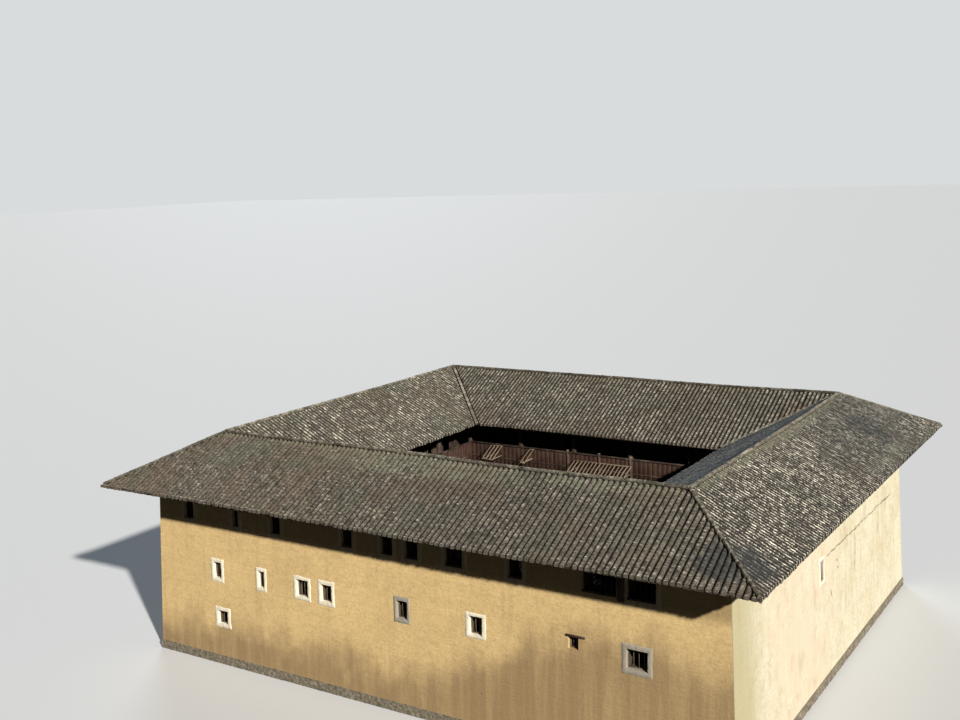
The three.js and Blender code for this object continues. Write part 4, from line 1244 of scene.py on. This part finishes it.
def balustrade(name, level, timber, finishes, seed):
    """A boarded parapet on the yard face of the posts: upright boards between a rail and a foot lath."""
    board_bars, rails = [], []
    draw = np.random.default_rng(seed)
    top, foot = level + RAIL_HEIGHT, level - BOARDS_BELOW_FLOOR
    rail_sizes = (
        (0.045, top - 0.04, 0.08, 0.09),
        (0.05, foot + 0.06, 0.1, 0.03),
        (0.047, level + 0.12, 0.07, 0.024),
    )
    for side, (half, out, _) in GALLERY.items():
        reach = half - 0.02
        count = round(2 * reach / timber.board_width)
        width = 2 * reach / count - 0.006
        face = out - 0.02 + draw.normal(0, 0.0025, count)
        ends = foot + draw.uniform(0, 0.02, count)
        board_bars.append(uprights(side, middles(-reach, reach, count), face, ends, top - 0.02, width, 0.03))
        for inset, height, deep, thick in rail_sizes:
            rails.append(level_bars(side, -reach, reach, out - inset, height, deep, thick))
    boards = barwork(name + "_boards", board_bars, finishes["boards"], seed, 0.004)
    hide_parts(name)
    barwork(name + "_rails", rails, finishes["rail"], seed + 1)


# Places in X of the short posts over the back parapet, how far they rise over its rail, and their sizes
NEWELS = (-2.2, -0.13, 1.87)
NEWEL_RISE = 0.07
NEWEL_CAP_RISE = 0.03
NEWEL = 0.1
NEWEL_CAP = 0.13


def newels(finishes):
    """Short posts whose pale ends stand just over the back rail of the third storey."""
    places, out = -np.array(NEWELS), YARD_Y - 0.05
    neck = THIRD_LEVEL + RAIL_HEIGHT + NEWEL_RISE
    posts = uprights("back", places, out, THIRD_LEVEL - 0.3, neck, NEWEL, NEWEL)
    caps = uprights("back", places, out, neck, neck + NEWEL_CAP_RISE, NEWEL_CAP, NEWEL_CAP)
    barwork("back_newels", [posts], finishes["rail"], 29)
    barwork("back_newel_caps", [caps], finishes["laths"], 30)


def board_floor(side, inner, outer, half_inner, level, seed):
    """Boards across one side of a floor ring with mitred ends, and joists under them."""
    draw = np.random.default_rng(seed)
    half_outer = half_inner + outer - inner
    count = round(2 * half_outer / 0.26)
    places = middles(-half_outer, half_outer, count)
    start = np.maximum(inner, inner + np.abs(places) - half_inner)
    width = 2 * half_outer / count - 0.005
    height = level - FLOOR_BOARD / 2 - draw.uniform(0, 0.003, count)
    kept = outer - start > 0.05
    joists = np.arange(-half_inner + 0.3, half_inner, 0.6)
    joist_depth = FLOOR_DEPTH - FLOOR_BOARD
    middle = level - FLOOR_BOARD - joist_depth / 2
    return [
        cross_bars(side, places[kept], start[kept], outer, height[kept], width, 0.035),
        cross_bars(side, joists, inner + 0.01, outer - 0.01, middle, 0.09, joist_depth),
    ]


def board_floors(finish):
    """The boarded floors of rooms and galleries on both upper storeys."""
    room_back_x, room_back_y = ROOM_X + 0.1, ROOM_Y + 0.1
    rooms = by_side((room_back_y, room_back_x), (room_back_x, room_back_y))
    decks = by_side((YARD_Y + POST, YARD_X + POST), (YARD_X + POST, YARD_Y + POST))
    room_width, deck_width = INNER_FACE_X - room_back_x, ROOM_X - YARD_X - POST
    rings = {
        "second_floor": (rooms, room_width, SECOND_LEVEL),
        "third_floor": (rooms, room_width, THIRD_LEVEL),
        "second_gallery_deck": (decks, deck_width, SECOND_LEVEL),
        "third_gallery_deck": (decks, deck_width, THIRD_LEVEL),
    }
    for number_of_ring, (node, (ring, width, level)) in enumerate(rings.items()):
        bars = []
        for side, (inner, half_inner) in ring.items():
            bars += board_floor(side, inner, inner + width, half_inner, level, 40 + number_of_ring)
        floor = barwork(node + "_boards", bars, finish, 50 + number_of_ring, 0.004)
        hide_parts(node)


# Each opening of a bay: its middle from the middle of the bay, half its width, its foot and its head
DOOR = (-0.8, 0.45, 0.1, 2.05)
LIGHT = (0.8, 0.425, 0.95, 1.85)


def room_storeys():
    """Foot and head of the room fronts in each storey."""
    head = RIDGE_Z - ROOF_FALL * (RIDGE_Y - ROOM_Y) - ROOF_DEPTH
    return ((GROUND_LEVEL, SECOND_LEVEL), (SECOND_LEVEL, THIRD_LEVEL), (THIRD_LEVEL, head))


def planked(side, out, start, end, foot, head, width):
    """Upright planks that fill a rectangle of a wall."""
    count = max(1, round((end - start) / width))
    return uprights(side, middles(start, end, count), out, foot, head, (end - start) / count - 0.005, 0.035)


def room_fronts(timber, finishes):
    """The timber walls behind the galleries. Each bay of each storey has posts, planks, a doorway and a
    lattice light, and its planks stop at the openings."""
    planks, frames, lattice = [], [], []
    jamb = 0.07

    def plank(*edges):
        planks.append(planked(side, out, *edges, timber.plank_width))

    for side, (half, _, bays) in GALLERY.items():
        out = (ROOM_Y if side in LONG_SIDES else ROOM_X) + 0.05
        end = ROOM_X + 0.1 if side in LONG_SIDES else ROOM_Y
        lines = np.linspace(-half - POST / 2, half + POST / 2, bays + 1)
        starts = np.append(-end, lines[1:-1])
        stops = np.append(lines[1:-1], end)
        for foot, head in room_storeys():
            frames.append(uprights(side, lines, out, foot, head, 0.16, 0.14))
            frames.append(level_bars(side, -end + 0.01, end - 0.01, out, head - 0.08, 0.16, 0.13))
            for start, stop, middle in zip(starts, stops, (lines[1:] + lines[:-1]) / 2):
                for offset, reach, low, high in (DOOR, LIGHT):
                    left, right = middle + offset - reach, middle + offset + reach
                    plank(start, left, foot, head)
                    plank(left, right, foot, foot + low)
                    plank(left, right, foot + high, head)
                    jambs = np.array([left + jamb / 2, right - jamb / 2])
                    frames.append(uprights(side, jambs, out, foot + low, foot + high, jamb, 0.11))
                    for height in (foot + low + jamb / 2, foot + high - jamb / 2):
                        frames.append(level_bars(side, left, right, out, height, jamb, 0.11))
                    start = right
                plank(start, stop, foot, head)
                offset, reach, low, high = LIGHT
                left, right = middle + offset - reach + jamb, middle + offset + reach - jamb
                places = np.linspace(left, right, 9)[1:-1]
                bar_foot, bar_head = foot + low + 0.05, foot + high - 0.05
                lattice.append(uprights(side, places, out, bar_foot, bar_head, 0.022, 0.03))
                for share in (0.33, 0.67):
                    height = foot + low + (high - low) * share
                    lattice.append(level_bars(side, left, right, out, height, 0.03, 0.022))
    wall_planks = barwork("room_wall_planks", planks, finishes["planks"], 61, 0.004)
    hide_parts("room_front_front", "room_front_back", "room_front_left", "room_front_right")
    barwork("room_posts_and_door_frames", frames, finishes["frame"], 62, 0.008)
    barwork("room_lattice_lights", lattice, finishes["frame"], 63, 0)


# How many laths each rack has, the sizes of its rails and struts, and how far the struts stand in
RACK_LATHS = {"drying_rack_long": 16, "drying_rack_middle": 4, "drying_rack_short": 2}
RACK_RAIL = 0.05
STRUT = 0.045
STRUT_INSET = 0.09


def drying_rack(node, count, finish, seed):
    """A rack of round-edged laths that leans out from the back balustrade, each lath a little out of
    true. Two level rails and two struts carry it."""
    low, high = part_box(node)
    draw = np.random.default_rng(seed)
    half = RACK_RAIL / 2
    top, foot = high.z - half, low.z + half
    top_out, low_out = high.y - half, low.y + half
    places = np.linspace(low.x + 0.04, high.x - 0.04, count)
    lower = placed("back", -places - draw.normal(0, 0.012, count), low_out - 0.01, foot)
    upper = placed("back", -places - draw.normal(0, 0.008, count), top_out - 0.04, top)
    struts = -np.array([low.x + STRUT_INSET + half, high.x - STRUT_INSET - half])
    lath_width, along_x = draw.uniform(0.06, 0.075, count), (1.0, 0.0, 0.0)
    strut_starts, strut_ends = placed("back", struts, low_out, foot), placed("back", struts, high.y, foot)
    bars = [
        beams(lower, upper, lath_width, 0.024, along_x),
        beams((low.x, top_out, top), (high.x, top_out, top), RACK_RAIL, RACK_RAIL),
        beams((low.x, low_out, foot), (high.x, low_out, foot), RACK_RAIL, RACK_RAIL),
        beams(strut_starts, strut_ends, STRUT, STRUT, along_x),
    ]
    rack = barwork(node + "_laths", bars, finish, seed, 0.005)
    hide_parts(node)


# How many beams carry each eave, their foot and head, and the size of the purlin on them
EAVE_BEAMS = by_side(11, 9)
EAVE_BEAM_BASE = 8.79
EAVE_BEAM_TOP = 8.96
PURLIN = 0.15


def eave_frames(finish):
    """Beams out of the head of each wall, and the round-edged purlin on them that carries the rafters'
    ends."""
    purlin_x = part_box("eave_frame_front")[1].x - PURLIN / 2
    purlin_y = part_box("eave_frame_right")[1].y + PURLIN / 2
    purlins = by_side(purlin_y, purlin_x)
    deep = EAVE_BEAM_TOP - EAVE_BEAM_BASE
    bars = []
    for side, purlin in purlins.items():
        reach = wall_face(ACROSS[side], WALL_HEAD) - POST
        places = np.linspace(-reach, reach, EAVE_BEAMS[side])
        start = wall_face(side, EAVE_BEAM_TOP) - 0.05
        bars.append(cross_bars(side, places, start, purlin + PURLIN, EAVE_BEAM_BASE + deep / 2, 0.13, deep))
        top = RIDGE_Z - ROOF_FALL * (purlin - RIDGE_OUT[side] + PURLIN / 2) - ROOF_DEPTH
        half = purlins[ACROSS[side]] + (PURLIN / 2 if side in LONG_SIDES else -PURLIN / 2)
        middle = (EAVE_BEAM_TOP + top) / 2
        bars.append(level_bars(side, -half, half, purlin, middle, top - EAVE_BEAM_TOP, PURLIN))
    frames = barwork("eave_beams_and_purlins", bars, finish, 71, 0.014)
    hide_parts("eave_frame_front", "eave_frame_back", "eave_frame_left", "eave_frame_right")


# Gate

def gate_surround(finish):
    """The gate's frame of dressed blocks: five courses in each jamb and three stones in the lintel."""
    low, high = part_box("gate_surround")
    jamb, lintel_depth, joint = 0.26, 0.38, 0.008
    lintel = high.z - lintel_depth
    draw = np.random.default_rng(81)
    heights = np.linspace(GROUND_LEVEL, lintel, 6)
    heights[1:-1] += draw.normal(0, 0.05, 4)
    stones = []

    def block(x, z, width, height):
        """A stone that stands out of the wall by 4 cm and a little more at random."""
        out = wall_face("back", z) + 0.04 + draw.uniform(0, 0.012)
        stones.append(beams((x, low.y, z), (x, out, z), width, height - joint, (1.0, 0.0, 0.0)))

    for x in (-high.x + jamb / 2, high.x - jamb / 2):
        for foot, head in zip(heights[:-1], heights[1:]):
            block(x, (foot + head) / 2, jamb, head - foot)
    edges = (-high.x, -0.42, 0.38, high.x)
    for left, right in zip(edges[:-1], edges[1:]):
        block((left + right) / 2, lintel + lintel_depth / 2, right - left - joint, lintel_depth)
    frame_stones = barwork("gate_stones", stones, finish, 82, 0.014)
    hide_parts("gate_surround")


def gate_leaves(finish):
    """Two leaves of thick planks, folded back in the passage, with ledges on their inner face."""
    planks, ledges = 5, (0.35, 1.28, 2.2)
    for node, sign in (("gate_leaf_left", -1), ("gate_leaf_right", 1)):
        low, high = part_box(node)
        places = middles(low.y, high.y, planks)
        x = sign * (abs(low.x + high.x) / 2 + 0.008)
        starts, ends = placed("right", places, x, low.z + 0.01), placed("right", places, x, high.z - 0.005)
        bars = [beams(starts, ends, (high.y - low.y) / planks - 0.004, 0.048, ALONG["right"])]
        ledge_x = sign * (min(abs(low.x), abs(high.x)) + 0.011)
        start, end = low.y + 0.04, high.y - 0.04
        for height in ledges:
            bars.append(level_bars("right", start, end, ledge_x, low.z + height, 0.14, 0.022))
        leaf = barwork(node + "_planks", bars, finish, 83 + (sign > 0), 0.004)
        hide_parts(node)


# Settings

def number(name, description, default, low=0.0, high=10.0, unit="LENGTH"):
    return bpy.props.FloatProperty(
        name=name, description=description, default=default, min=low, max=high, unit=unit
    )


def tint(name, description, red, green, blue):
    default = colour(red, green, blue)
    return bpy.props.FloatVectorProperty(
        name=name, description=description, subtype="COLOR", size=4, min=0, max=1, default=default
    )


class TulouRoofSettings(bpy.types.PropertyGroup):
    row_pitch: number("Row pitch", "Usual distance between rows of tiles", 0.24)
    course: number("Course", "Distance between courses, measured level", 0.165)
    tile_rise: number("Tile rise", "Height of a row's cover over the pan beside it", 0.075)
    tile_step: number("Tile step", "How far each course's lower edge stands over the next", 0.02)
    ragged: number("Raggedness", "Usual error in the place of a course's lower edge", 0.014)
    cap_length: number("Cap length", "Length of a cap tile on ridges and hips", 0.27)
    cap_width: number("Cap width", "Width of the cap tiles on the ridges", 0.22)
    hip_width: number("Hip cap width", "Width of the cap tiles on the hips", 0.2)
    hip_rise: number("Hip cap rise", "Height of the cap tiles on the hips", 0.12)
    valley_width: number("Valley width", "Width of the trough in each inner corner", 0.54)
    rafter_spacing: number("Rafter spacing", "Distance between rafters", 0.45)
    dark: tint("Dark tiles", "Lichen and soot on the tiles", 50, 46, 39)
    middle: tint("Middle tiles", "Usual face of the tiles", 107, 102, 91)
    # Also used on the inner right slope, where the darker tone is painted shade
    front_middle: tint("Darker tiles", "Usual face of the tiles on the darker slopes", 84, 78, 69)
    pale: tint("Pale tiles", "Worn and bleached tiles", 172, 167, 155)
    front_pale: tint("Pale front tiles", "Those of the outer front slope", 150, 145, 134)
    bleached: tint("Bleached tiles", "Those of the outer right slope", 208, 204, 194)
    patch: tint("Patches", "Brown growth on the tiles", 84, 71, 59)
    growth: tint("Growth", "Grey green growth on the tiles", 74, 79, 66)
    speck: tint("Specks", "Fresh breaks and lime spots", 226, 221, 205)
    cap: tint("Caps", "Cap tiles of ridges and hips", 134, 131, 116)
    crown: tint("Crown", "Growth along the ridges", 112, 112, 92)
    # Colour of the dark spots: damp, and painted shade on the inner right slope
    damp_and_shade: tint("Damp and shade", "Smooth dark spots on the slopes", 74, 76, 76)
    moss: tint("Moss", "Mossy spots on the slopes", 112, 116, 99)


class TulouWallSettings(bpy.types.PropertyGroup):
    lift: number("Lift", "Height of one lift of rammed earth", 0.38)
    earth: tint("Earth", "Ochre earth of the front wall", 229, 200, 145)
    second_earth: tint("Second earth", "The other earth in its layers", 215, 188, 135)
    # Grey brown of runs and grime, and on the low right of the front wall partly a painted shadow of plants
    stain_and_shade: tint("Stain", "Grey brown damp on the front wall", 142, 118, 86)
    # Painted shade deep in the reveals of the front windows
    window_shade: tint("Window shade", "Soot deep in the front windows", 52, 44, 36)
    pale_earth: tint("Pale earth", "Earth of the right wall", 217, 214, 194)
    second_pale_earth: tint("Second pale earth", "The other earth of the right wall", 207, 200, 175)
    rosy_earth: tint("Rosy earth", "The faintly pink earth in the right wall", 213, 196, 175)
    corner_earth: tint("Corner earth", "Greenish grey front end of the right wall", 168, 160, 126)
    pale_stain: tint("Pale stain", "Rain marks on the right wall", 166, 150, 118)
    worn_lime: tint("Worn lime", "Thin lime round a few windows", 152, 149, 140)
    lime: tint("Lime", "Clean lime round windows", 228, 222, 204)
    grimy_lime: tint("Grimy lime", "Lime where water has run", 186, 172, 146)
    mud: tint("Mud plaster", "Plaster round the upper windows", 176, 160, 130)
    grimy_mud: tint("Grimy mud plaster", "That plaster where water has run", 132, 118, 95)
    stone: tint("Stone", "Light stone of the footing and gate", 150, 141, 124)
    dark_stone: tint("Dark stone", "Dark stone of the footing and gate", 92, 86, 76)
    moss: tint("Moss", "Growth on the stones", 86, 88, 58)


class TulouTimberSettings(bpy.types.PropertyGroup):
    board_width: number("Board width", "Width of a balustrade board", 0.29)
    plank_width: number("Plank width", "Width of a wall plank", 0.21)
    light: tint("Light timber", "Light grain of the old frame timber", 68, 50, 40)
    dark: tint("Dark timber", "Dark grain of the old frame timber", 40, 29, 23)
    board_light: tint("Light boards", "Light grain of the red brown boards", 68, 37, 23)
    board_dark: tint("Dark boards", "Dark grain of the red brown boards", 36, 19, 12)
    white: tint("Whitewash", "Whitewash on the window of the right wall", 226, 222, 210)
    shutter: tint("Shutter", "Grey board behind the bars of that window", 122, 118, 114)
    window_light: tint("Light window wood", "Light grain of window frames", 112, 100, 82)
    window_dark: tint("Dark window wood", "Dark grain of window frames", 64, 55, 45)
    lath_light: tint("Light laths", "Light grain of the drying racks", 150, 135, 115)
    lath_dark: tint("Dark laths", "Dark grain of the drying racks", 110, 98, 82)
    gate_light: tint("Light gate planks", "Light grain of the gate leaves", 92, 62, 44)
    gate_dark: tint("Dark gate planks", "Dark grain of the gate leaves", 48, 32, 24)
    # These also colour the third storey's window frames, where the darker timber is painted shade
    rafter_light: tint("Light rafters", "Light grain of the rafters and roof boards", 74, 60, 49)
    rafter_dark: tint("Dark rafters", "Dark grain of the rafters and roof boards", 40, 32, 27)
    grey: tint("Grey", "Wood bleached by the weather", 140, 128, 112)


class TulouStageSettings(bpy.types.PropertyGroup):
    sun: number("Sun", "Strength of the soft sun", 6.6, 0, 20, "NONE")
    fill: number("Fill", "Strength of the weak cool light from behind", 1.7, 0, 20, "NONE")
    sun_spread: number("Sun spread", "Angle across the soft sun", math.radians(1.8), 0, 1, "ROTATION")
    sky: number("Sky", "Strength of the even light from all round", 0.035, 0, 5, "NONE")
    backdrop: tint("Backdrop", "Pale background behind the floor", 217, 220, 221)
    floor: tint("Floor", "Pale studio floor", 200, 204, 210)
    floor_bounce: tint("Floor bounce", "What the floor gives back to the house", 26, 26, 25)


def timber_finishes(timber):
    return {
        "frame": wood_surface("old frame timber", timber.light, timber.dark, timber.grey, 0.25),
        "planks": wood_surface("wall planks", timber.light, timber.dark, timber.grey, 0.15),
        "under_eave": wood_surface("sooty rafters", timber.rafter_light, timber.rafter_dark, timber.dark, 0.3),
        "boards": wood_surface("red brown boards", timber.board_light, timber.board_dark, timber.grey, 0.08),
        "rail": wood_surface("rail wood", timber.light, timber.dark, timber.grey, 0.4),
        "laths": wood_surface("bleached laths", timber.lath_light, timber.lath_dark, timber.grey, 0.4),
        "gate": wood_surface("gate planks", timber.gate_light, timber.gate_dark, timber.grey, 0.1),
    }


OCHRE_WALLS = (
    "front_wall_ground", "front_wall_second", "front_wall_third", "left_wall", "back_wall_left",
    "back_wall_right", "back_wall_over_gate",
)


def dress(node, finish):
    """Gives a frame node that stays in view its finish."""
    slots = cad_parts[node].data.materials
    slots.clear()
    slots.append(finish)


# Operators, one for each group of pieces

class TULOU_OT_roof(bpy.types.Operator):
    """Lay the clay tiles, caps and valleys, and the rafters under them"""

    bl_idname = "tulou.roof"
    bl_label = "Roof"

    def execute(self, context):
        roof = context.scene.tulou_roof
        timber = context.scene.tulou_timber
        for number_of_slope, side in enumerate(SIDES):
            for outer in (True, False):
                node = ("roof_outer_" if outer else "roof_inner_") + side
                seed = 100 + 2 * number_of_slope + outer
                middle = roof.front_middle if node in DARKER_SLOPES else roof.middle
                courses = round((OUTER_RUN if outer else INNER_RUN) / roof.course)
                finish = tile_surface(node, float(seed), middle, roof, courses)
                tiles = tiled_slope(node, side, outer, roof, seed, finish)
                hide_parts(node)
        caps = tile_surface("caps", 9.0, roof.cap, roof, 1000)
        ridge_caps(roof, caps)
        valley_strips(roof, caps)
        under_roof(roof, timber_finishes(timber)["under_eave"])
        return {"FINISHED"}


class TULOU_OT_walls(bpy.types.Operator):
    """Finish the rammed earth walls and their rubble footing"""

    bl_idname = "tulou.walls"
    bl_label = "Earth walls"

    def execute(self, context):
        walls = context.scene.tulou_walls
        ochre = front_earth_surface(walls)
        for node in OCHRE_WALLS:
            dress(node, ochre)
        dress("right_wall", pale_earth_surface(walls))
        rubble = stone_surface("rubble stone", walls.stone, walls.dark_stone, walls.moss)
        footing(rubble)
        dress("ground_floor", rubble)
        return {"FINISHED"}


class TULOU_OT_windows(bpy.types.Operator):
    """Plaster round the windows and set their frames and bars"""

    bl_idname = "tulou.windows"
    bl_label = "Windows"

    def execute(self, context):
        window_plaster(context.scene.tulou_walls)
        window_joinery(context.scene.tulou_timber)
        shutter_post_and_lintel(context.scene.tulou_timber)
        return {"FINISHED"}


class TULOU_OT_gate(bpy.types.Operator):
    """Build the gate's stones and its two plank leaves"""

    bl_idname = "tulou.gate"
    bl_label = "Gate"

    def execute(self, context):
        walls = context.scene.tulou_walls
        gate_surround(stone_surface("dressed stone", walls.stone, walls.dark_stone, walls.moss))
        gate_leaves(timber_finishes(context.scene.tulou_timber)["gate"])
        return {"FINISHED"}


class TULOU_OT_galleries(bpy.types.Operator):
    """Build the gallery frames, balustrades, newels, floors and drying racks"""

    bl_idname = "tulou.galleries"
    bl_label = "Galleries"

    def execute(self, context):
        timber = context.scene.tulou_timber
        finishes = timber_finishes(timber)
        gallery_frames(finishes["frame"])
        balustrade("second_balustrade", SECOND_LEVEL, timber, finishes, 15)
        balustrade("third_balustrade", THIRD_LEVEL, timber, finishes, 18)
        newels(finishes)
        board_floors(finishes["planks"])
        for number_of_rack, (node, count) in enumerate(RACK_LATHS.items()):
            drying_rack(node, count, finishes["laths"], 26 + number_of_rack)
        return {"FINISHED"}


class TULOU_OT_rooms(bpy.types.Operator):
    """Build the timber room fronts with their doorways and lattice lights"""

    bl_idname = "tulou.rooms"
    bl_label = "Room fronts"

    def execute(self, context):
        timber = context.scene.tulou_timber
        room_fronts(timber, timber_finishes(timber))
        return {"FINISHED"}


class TULOU_OT_eaves(bpy.types.Operator):
    """Build the beams and purlins that carry the outer eaves"""

    bl_idname = "tulou.eaves"
    bl_label = "Eave beams"

    def execute(self, context):
        eave_frames(timber_finishes(context.scene.tulou_timber)["frame"])
        return {"FINISHED"}


# The camera stands where the photograph's lines of ridge, eave and wall say
CAMERA_PLACE = (29.81, -51.61, 23.88)
CAMERA_LENS = 43.32
CAMERA_YAW = math.radians(33.029)
CAMERA_PITCH = math.radians(9.321)
CAMERA_ROLL = math.radians(-2.112)
SENSOR_WIDTH = 36
# The way to each light, and its colour. The fill light is so many times as wide as the sun.
SUN_WAY = (3.05, -1.85, 1.8)
SUN_COLOUR = (1.0, 0.94, 0.84)
FILL_WAY = (-2.4, 2.8, 1.2)
FILL_COLOUR = (0.8, 0.9, 1.0)
FILL_SPREAD = 14
SKY_COLOUR = (0.86, 0.92, 1.0, 1.0)
STAGE_REACH = 900.0


class TULOU_OT_stage(bpy.types.Operator):
    """Set the pale floor, the soft lights and the camera"""

    bl_idname = "tulou.stage"
    bl_label = "Stage"

    def execute(self, context):
        settings = context.scene.tulou_stage
        self.lay_floor(settings)
        self.light(context, settings)
        self.aim(context)
        return {"FINISHED"}

    def lay_floor(self, settings):
        corners = np.array([[-1, -1, 0], [1, -1, 0], [1, 1, 0], [-1, 1, 0]]) * STAGE_REACH - [0, 0, 0.002]
        mesh = bpy.data.meshes.new("studio_floor")
        mesh.from_pydata(corners.tolist(), [], [(0, 1, 2, 3)])

        def build(weave):
            seen = weave.value("Is Camera Ray", "ShaderNodeLightPath")
            return seen.between(settings.floor_bounce, settings.floor), 0.9, None

        mesh.materials.append(surface("studio floor", build))
        floor = bpy.data.objects.new("studio_floor", mesh)
        bpy.context.scene.collection.objects.link(floor)

    def shine(self, context, name, way, energy, spread, tone):
        lamp = bpy.data.lights.new(name, "SUN")
        lamp.energy = energy
        lamp.angle = spread
        lamp.color = tone
        sun = bpy.data.objects.new(name, lamp)
        x, y, z = way
        sun.rotation_euler = (math.atan2(math.hypot(x, y), z), 0, math.atan2(x, -y))
        context.scene.collection.objects.link(sun)

    def light(self, context, settings):
        self.shine(context, "soft sun", SUN_WAY, settings.sun, settings.sun_spread, SUN_COLOUR)
        fill_spread = FILL_SPREAD * settings.sun_spread
        self.shine(context, "fill light", FILL_WAY, settings.fill, fill_spread, FILL_COLOUR)
        world = bpy.data.worlds.new("studio")
        world.use_nodes = True
        nodes, links = world.node_tree.nodes, world.node_tree.links
        even_light = nodes["Background"]
        even_light.inputs["Color"].default_value = SKY_COLOUR
        even_light.inputs["Strength"].default_value = settings.sky
        backdrop = nodes.new("ShaderNodeBackground")
        backdrop.inputs["Color"].default_value = settings.backdrop
        choice = nodes.new("ShaderNodeMixShader")
        links.new(nodes.new("ShaderNodeLightPath").outputs["Is Camera Ray"], choice.inputs[0])
        links.new(even_light.outputs[0], choice.inputs[1])
        links.new(backdrop.outputs[0], choice.inputs[2])
        links.new(choice.outputs[0], nodes["World Output"].inputs["Surface"])
        context.scene.world = world
        context.scene.view_settings.view_transform = "Standard"

    def aim(self, context):
        yaw, pitch, roll = CAMERA_YAW, CAMERA_PITCH, CAMERA_ROLL
        right = np.array([math.cos(yaw), math.sin(yaw), 0.0])
        level = np.array([-math.sin(yaw), math.cos(yaw), 0.0])
        ahead = level * math.cos(pitch) - [0.0, 0.0, math.sin(pitch)]
        up = np.cross(right, ahead)
        tilted_right = math.cos(roll) * right + math.sin(roll) * up
        tilted_up = -math.sin(roll) * right + math.cos(roll) * up
        lens = bpy.data.cameras.new("camera")
        lens.lens = CAMERA_LENS
        lens.sensor_width = SENSOR_WIDTH
        lens.clip_end = 4 * STAGE_REACH
        camera = bpy.data.objects.new("camera", lens)
        turn = Matrix(np.stack([tilted_right, tilted_up, -ahead], axis=1).tolist()).to_4x4()
        camera.matrix_world = Matrix.Translation(CAMERA_PLACE) @ turn
        context.scene.collection.objects.link(camera)
        context.scene.camera = camera


STEPS = (
    TULOU_OT_roof,
    TULOU_OT_eaves,
    TULOU_OT_walls,
    TULOU_OT_windows,
    TULOU_OT_gate,
    TULOU_OT_galleries,
    TULOU_OT_rooms,
    TULOU_OT_stage,
)
SETTINGS = {
    "tulou_roof": TulouRoofSettings,
    "tulou_walls": TulouWallSettings,
    "tulou_timber": TulouTimberSettings,
    "tulou_stage": TulouStageSettings,
}


class TULOU_PT_panel(bpy.types.Panel):
    """Sizes and colours of the tulou, and a button for each group of pieces"""

    bl_idname = "TULOU_PT_panel"
    bl_label = "Square tulou"
    bl_space_type = "VIEW_3D"
    bl_region_type = "UI"
    bl_category = "Tulou"

    def draw(self, context):
        for step in STEPS:
            self.layout.operator(step.bl_idname)
        for name, group in SETTINGS.items():
            box = self.layout.box()
            for field in group.__annotations__:
                box.prop(getattr(context.scene, name), field)


def register():
    for group in SETTINGS.values():
        bpy.utils.register_class(group)
    for name, group in SETTINGS.items():
        setattr(bpy.types.Scene, name, bpy.props.PointerProperty(type=group))
    for step in (*STEPS, TULOU_PT_panel):
        bpy.utils.register_class(step)


def unregister():
    for step in (TULOU_PT_panel, *reversed(STEPS)):
        bpy.utils.unregister_class(step)
    for name in SETTINGS:
        delattr(bpy.types.Scene, name)
    for group in SETTINGS.values():
        bpy.utils.unregister_class(group)


def main():
    register()
    bpy.ops.tulou.roof()
    bpy.ops.tulou.eaves()
    bpy.ops.tulou.walls()
    bpy.ops.tulou.windows()
    bpy.ops.tulou.gate()
    bpy.ops.tulou.galleries()
    bpy.ops.tulou.rooms()
    bpy.ops.tulou.stage()


if __name__ == "__main__":
    main()
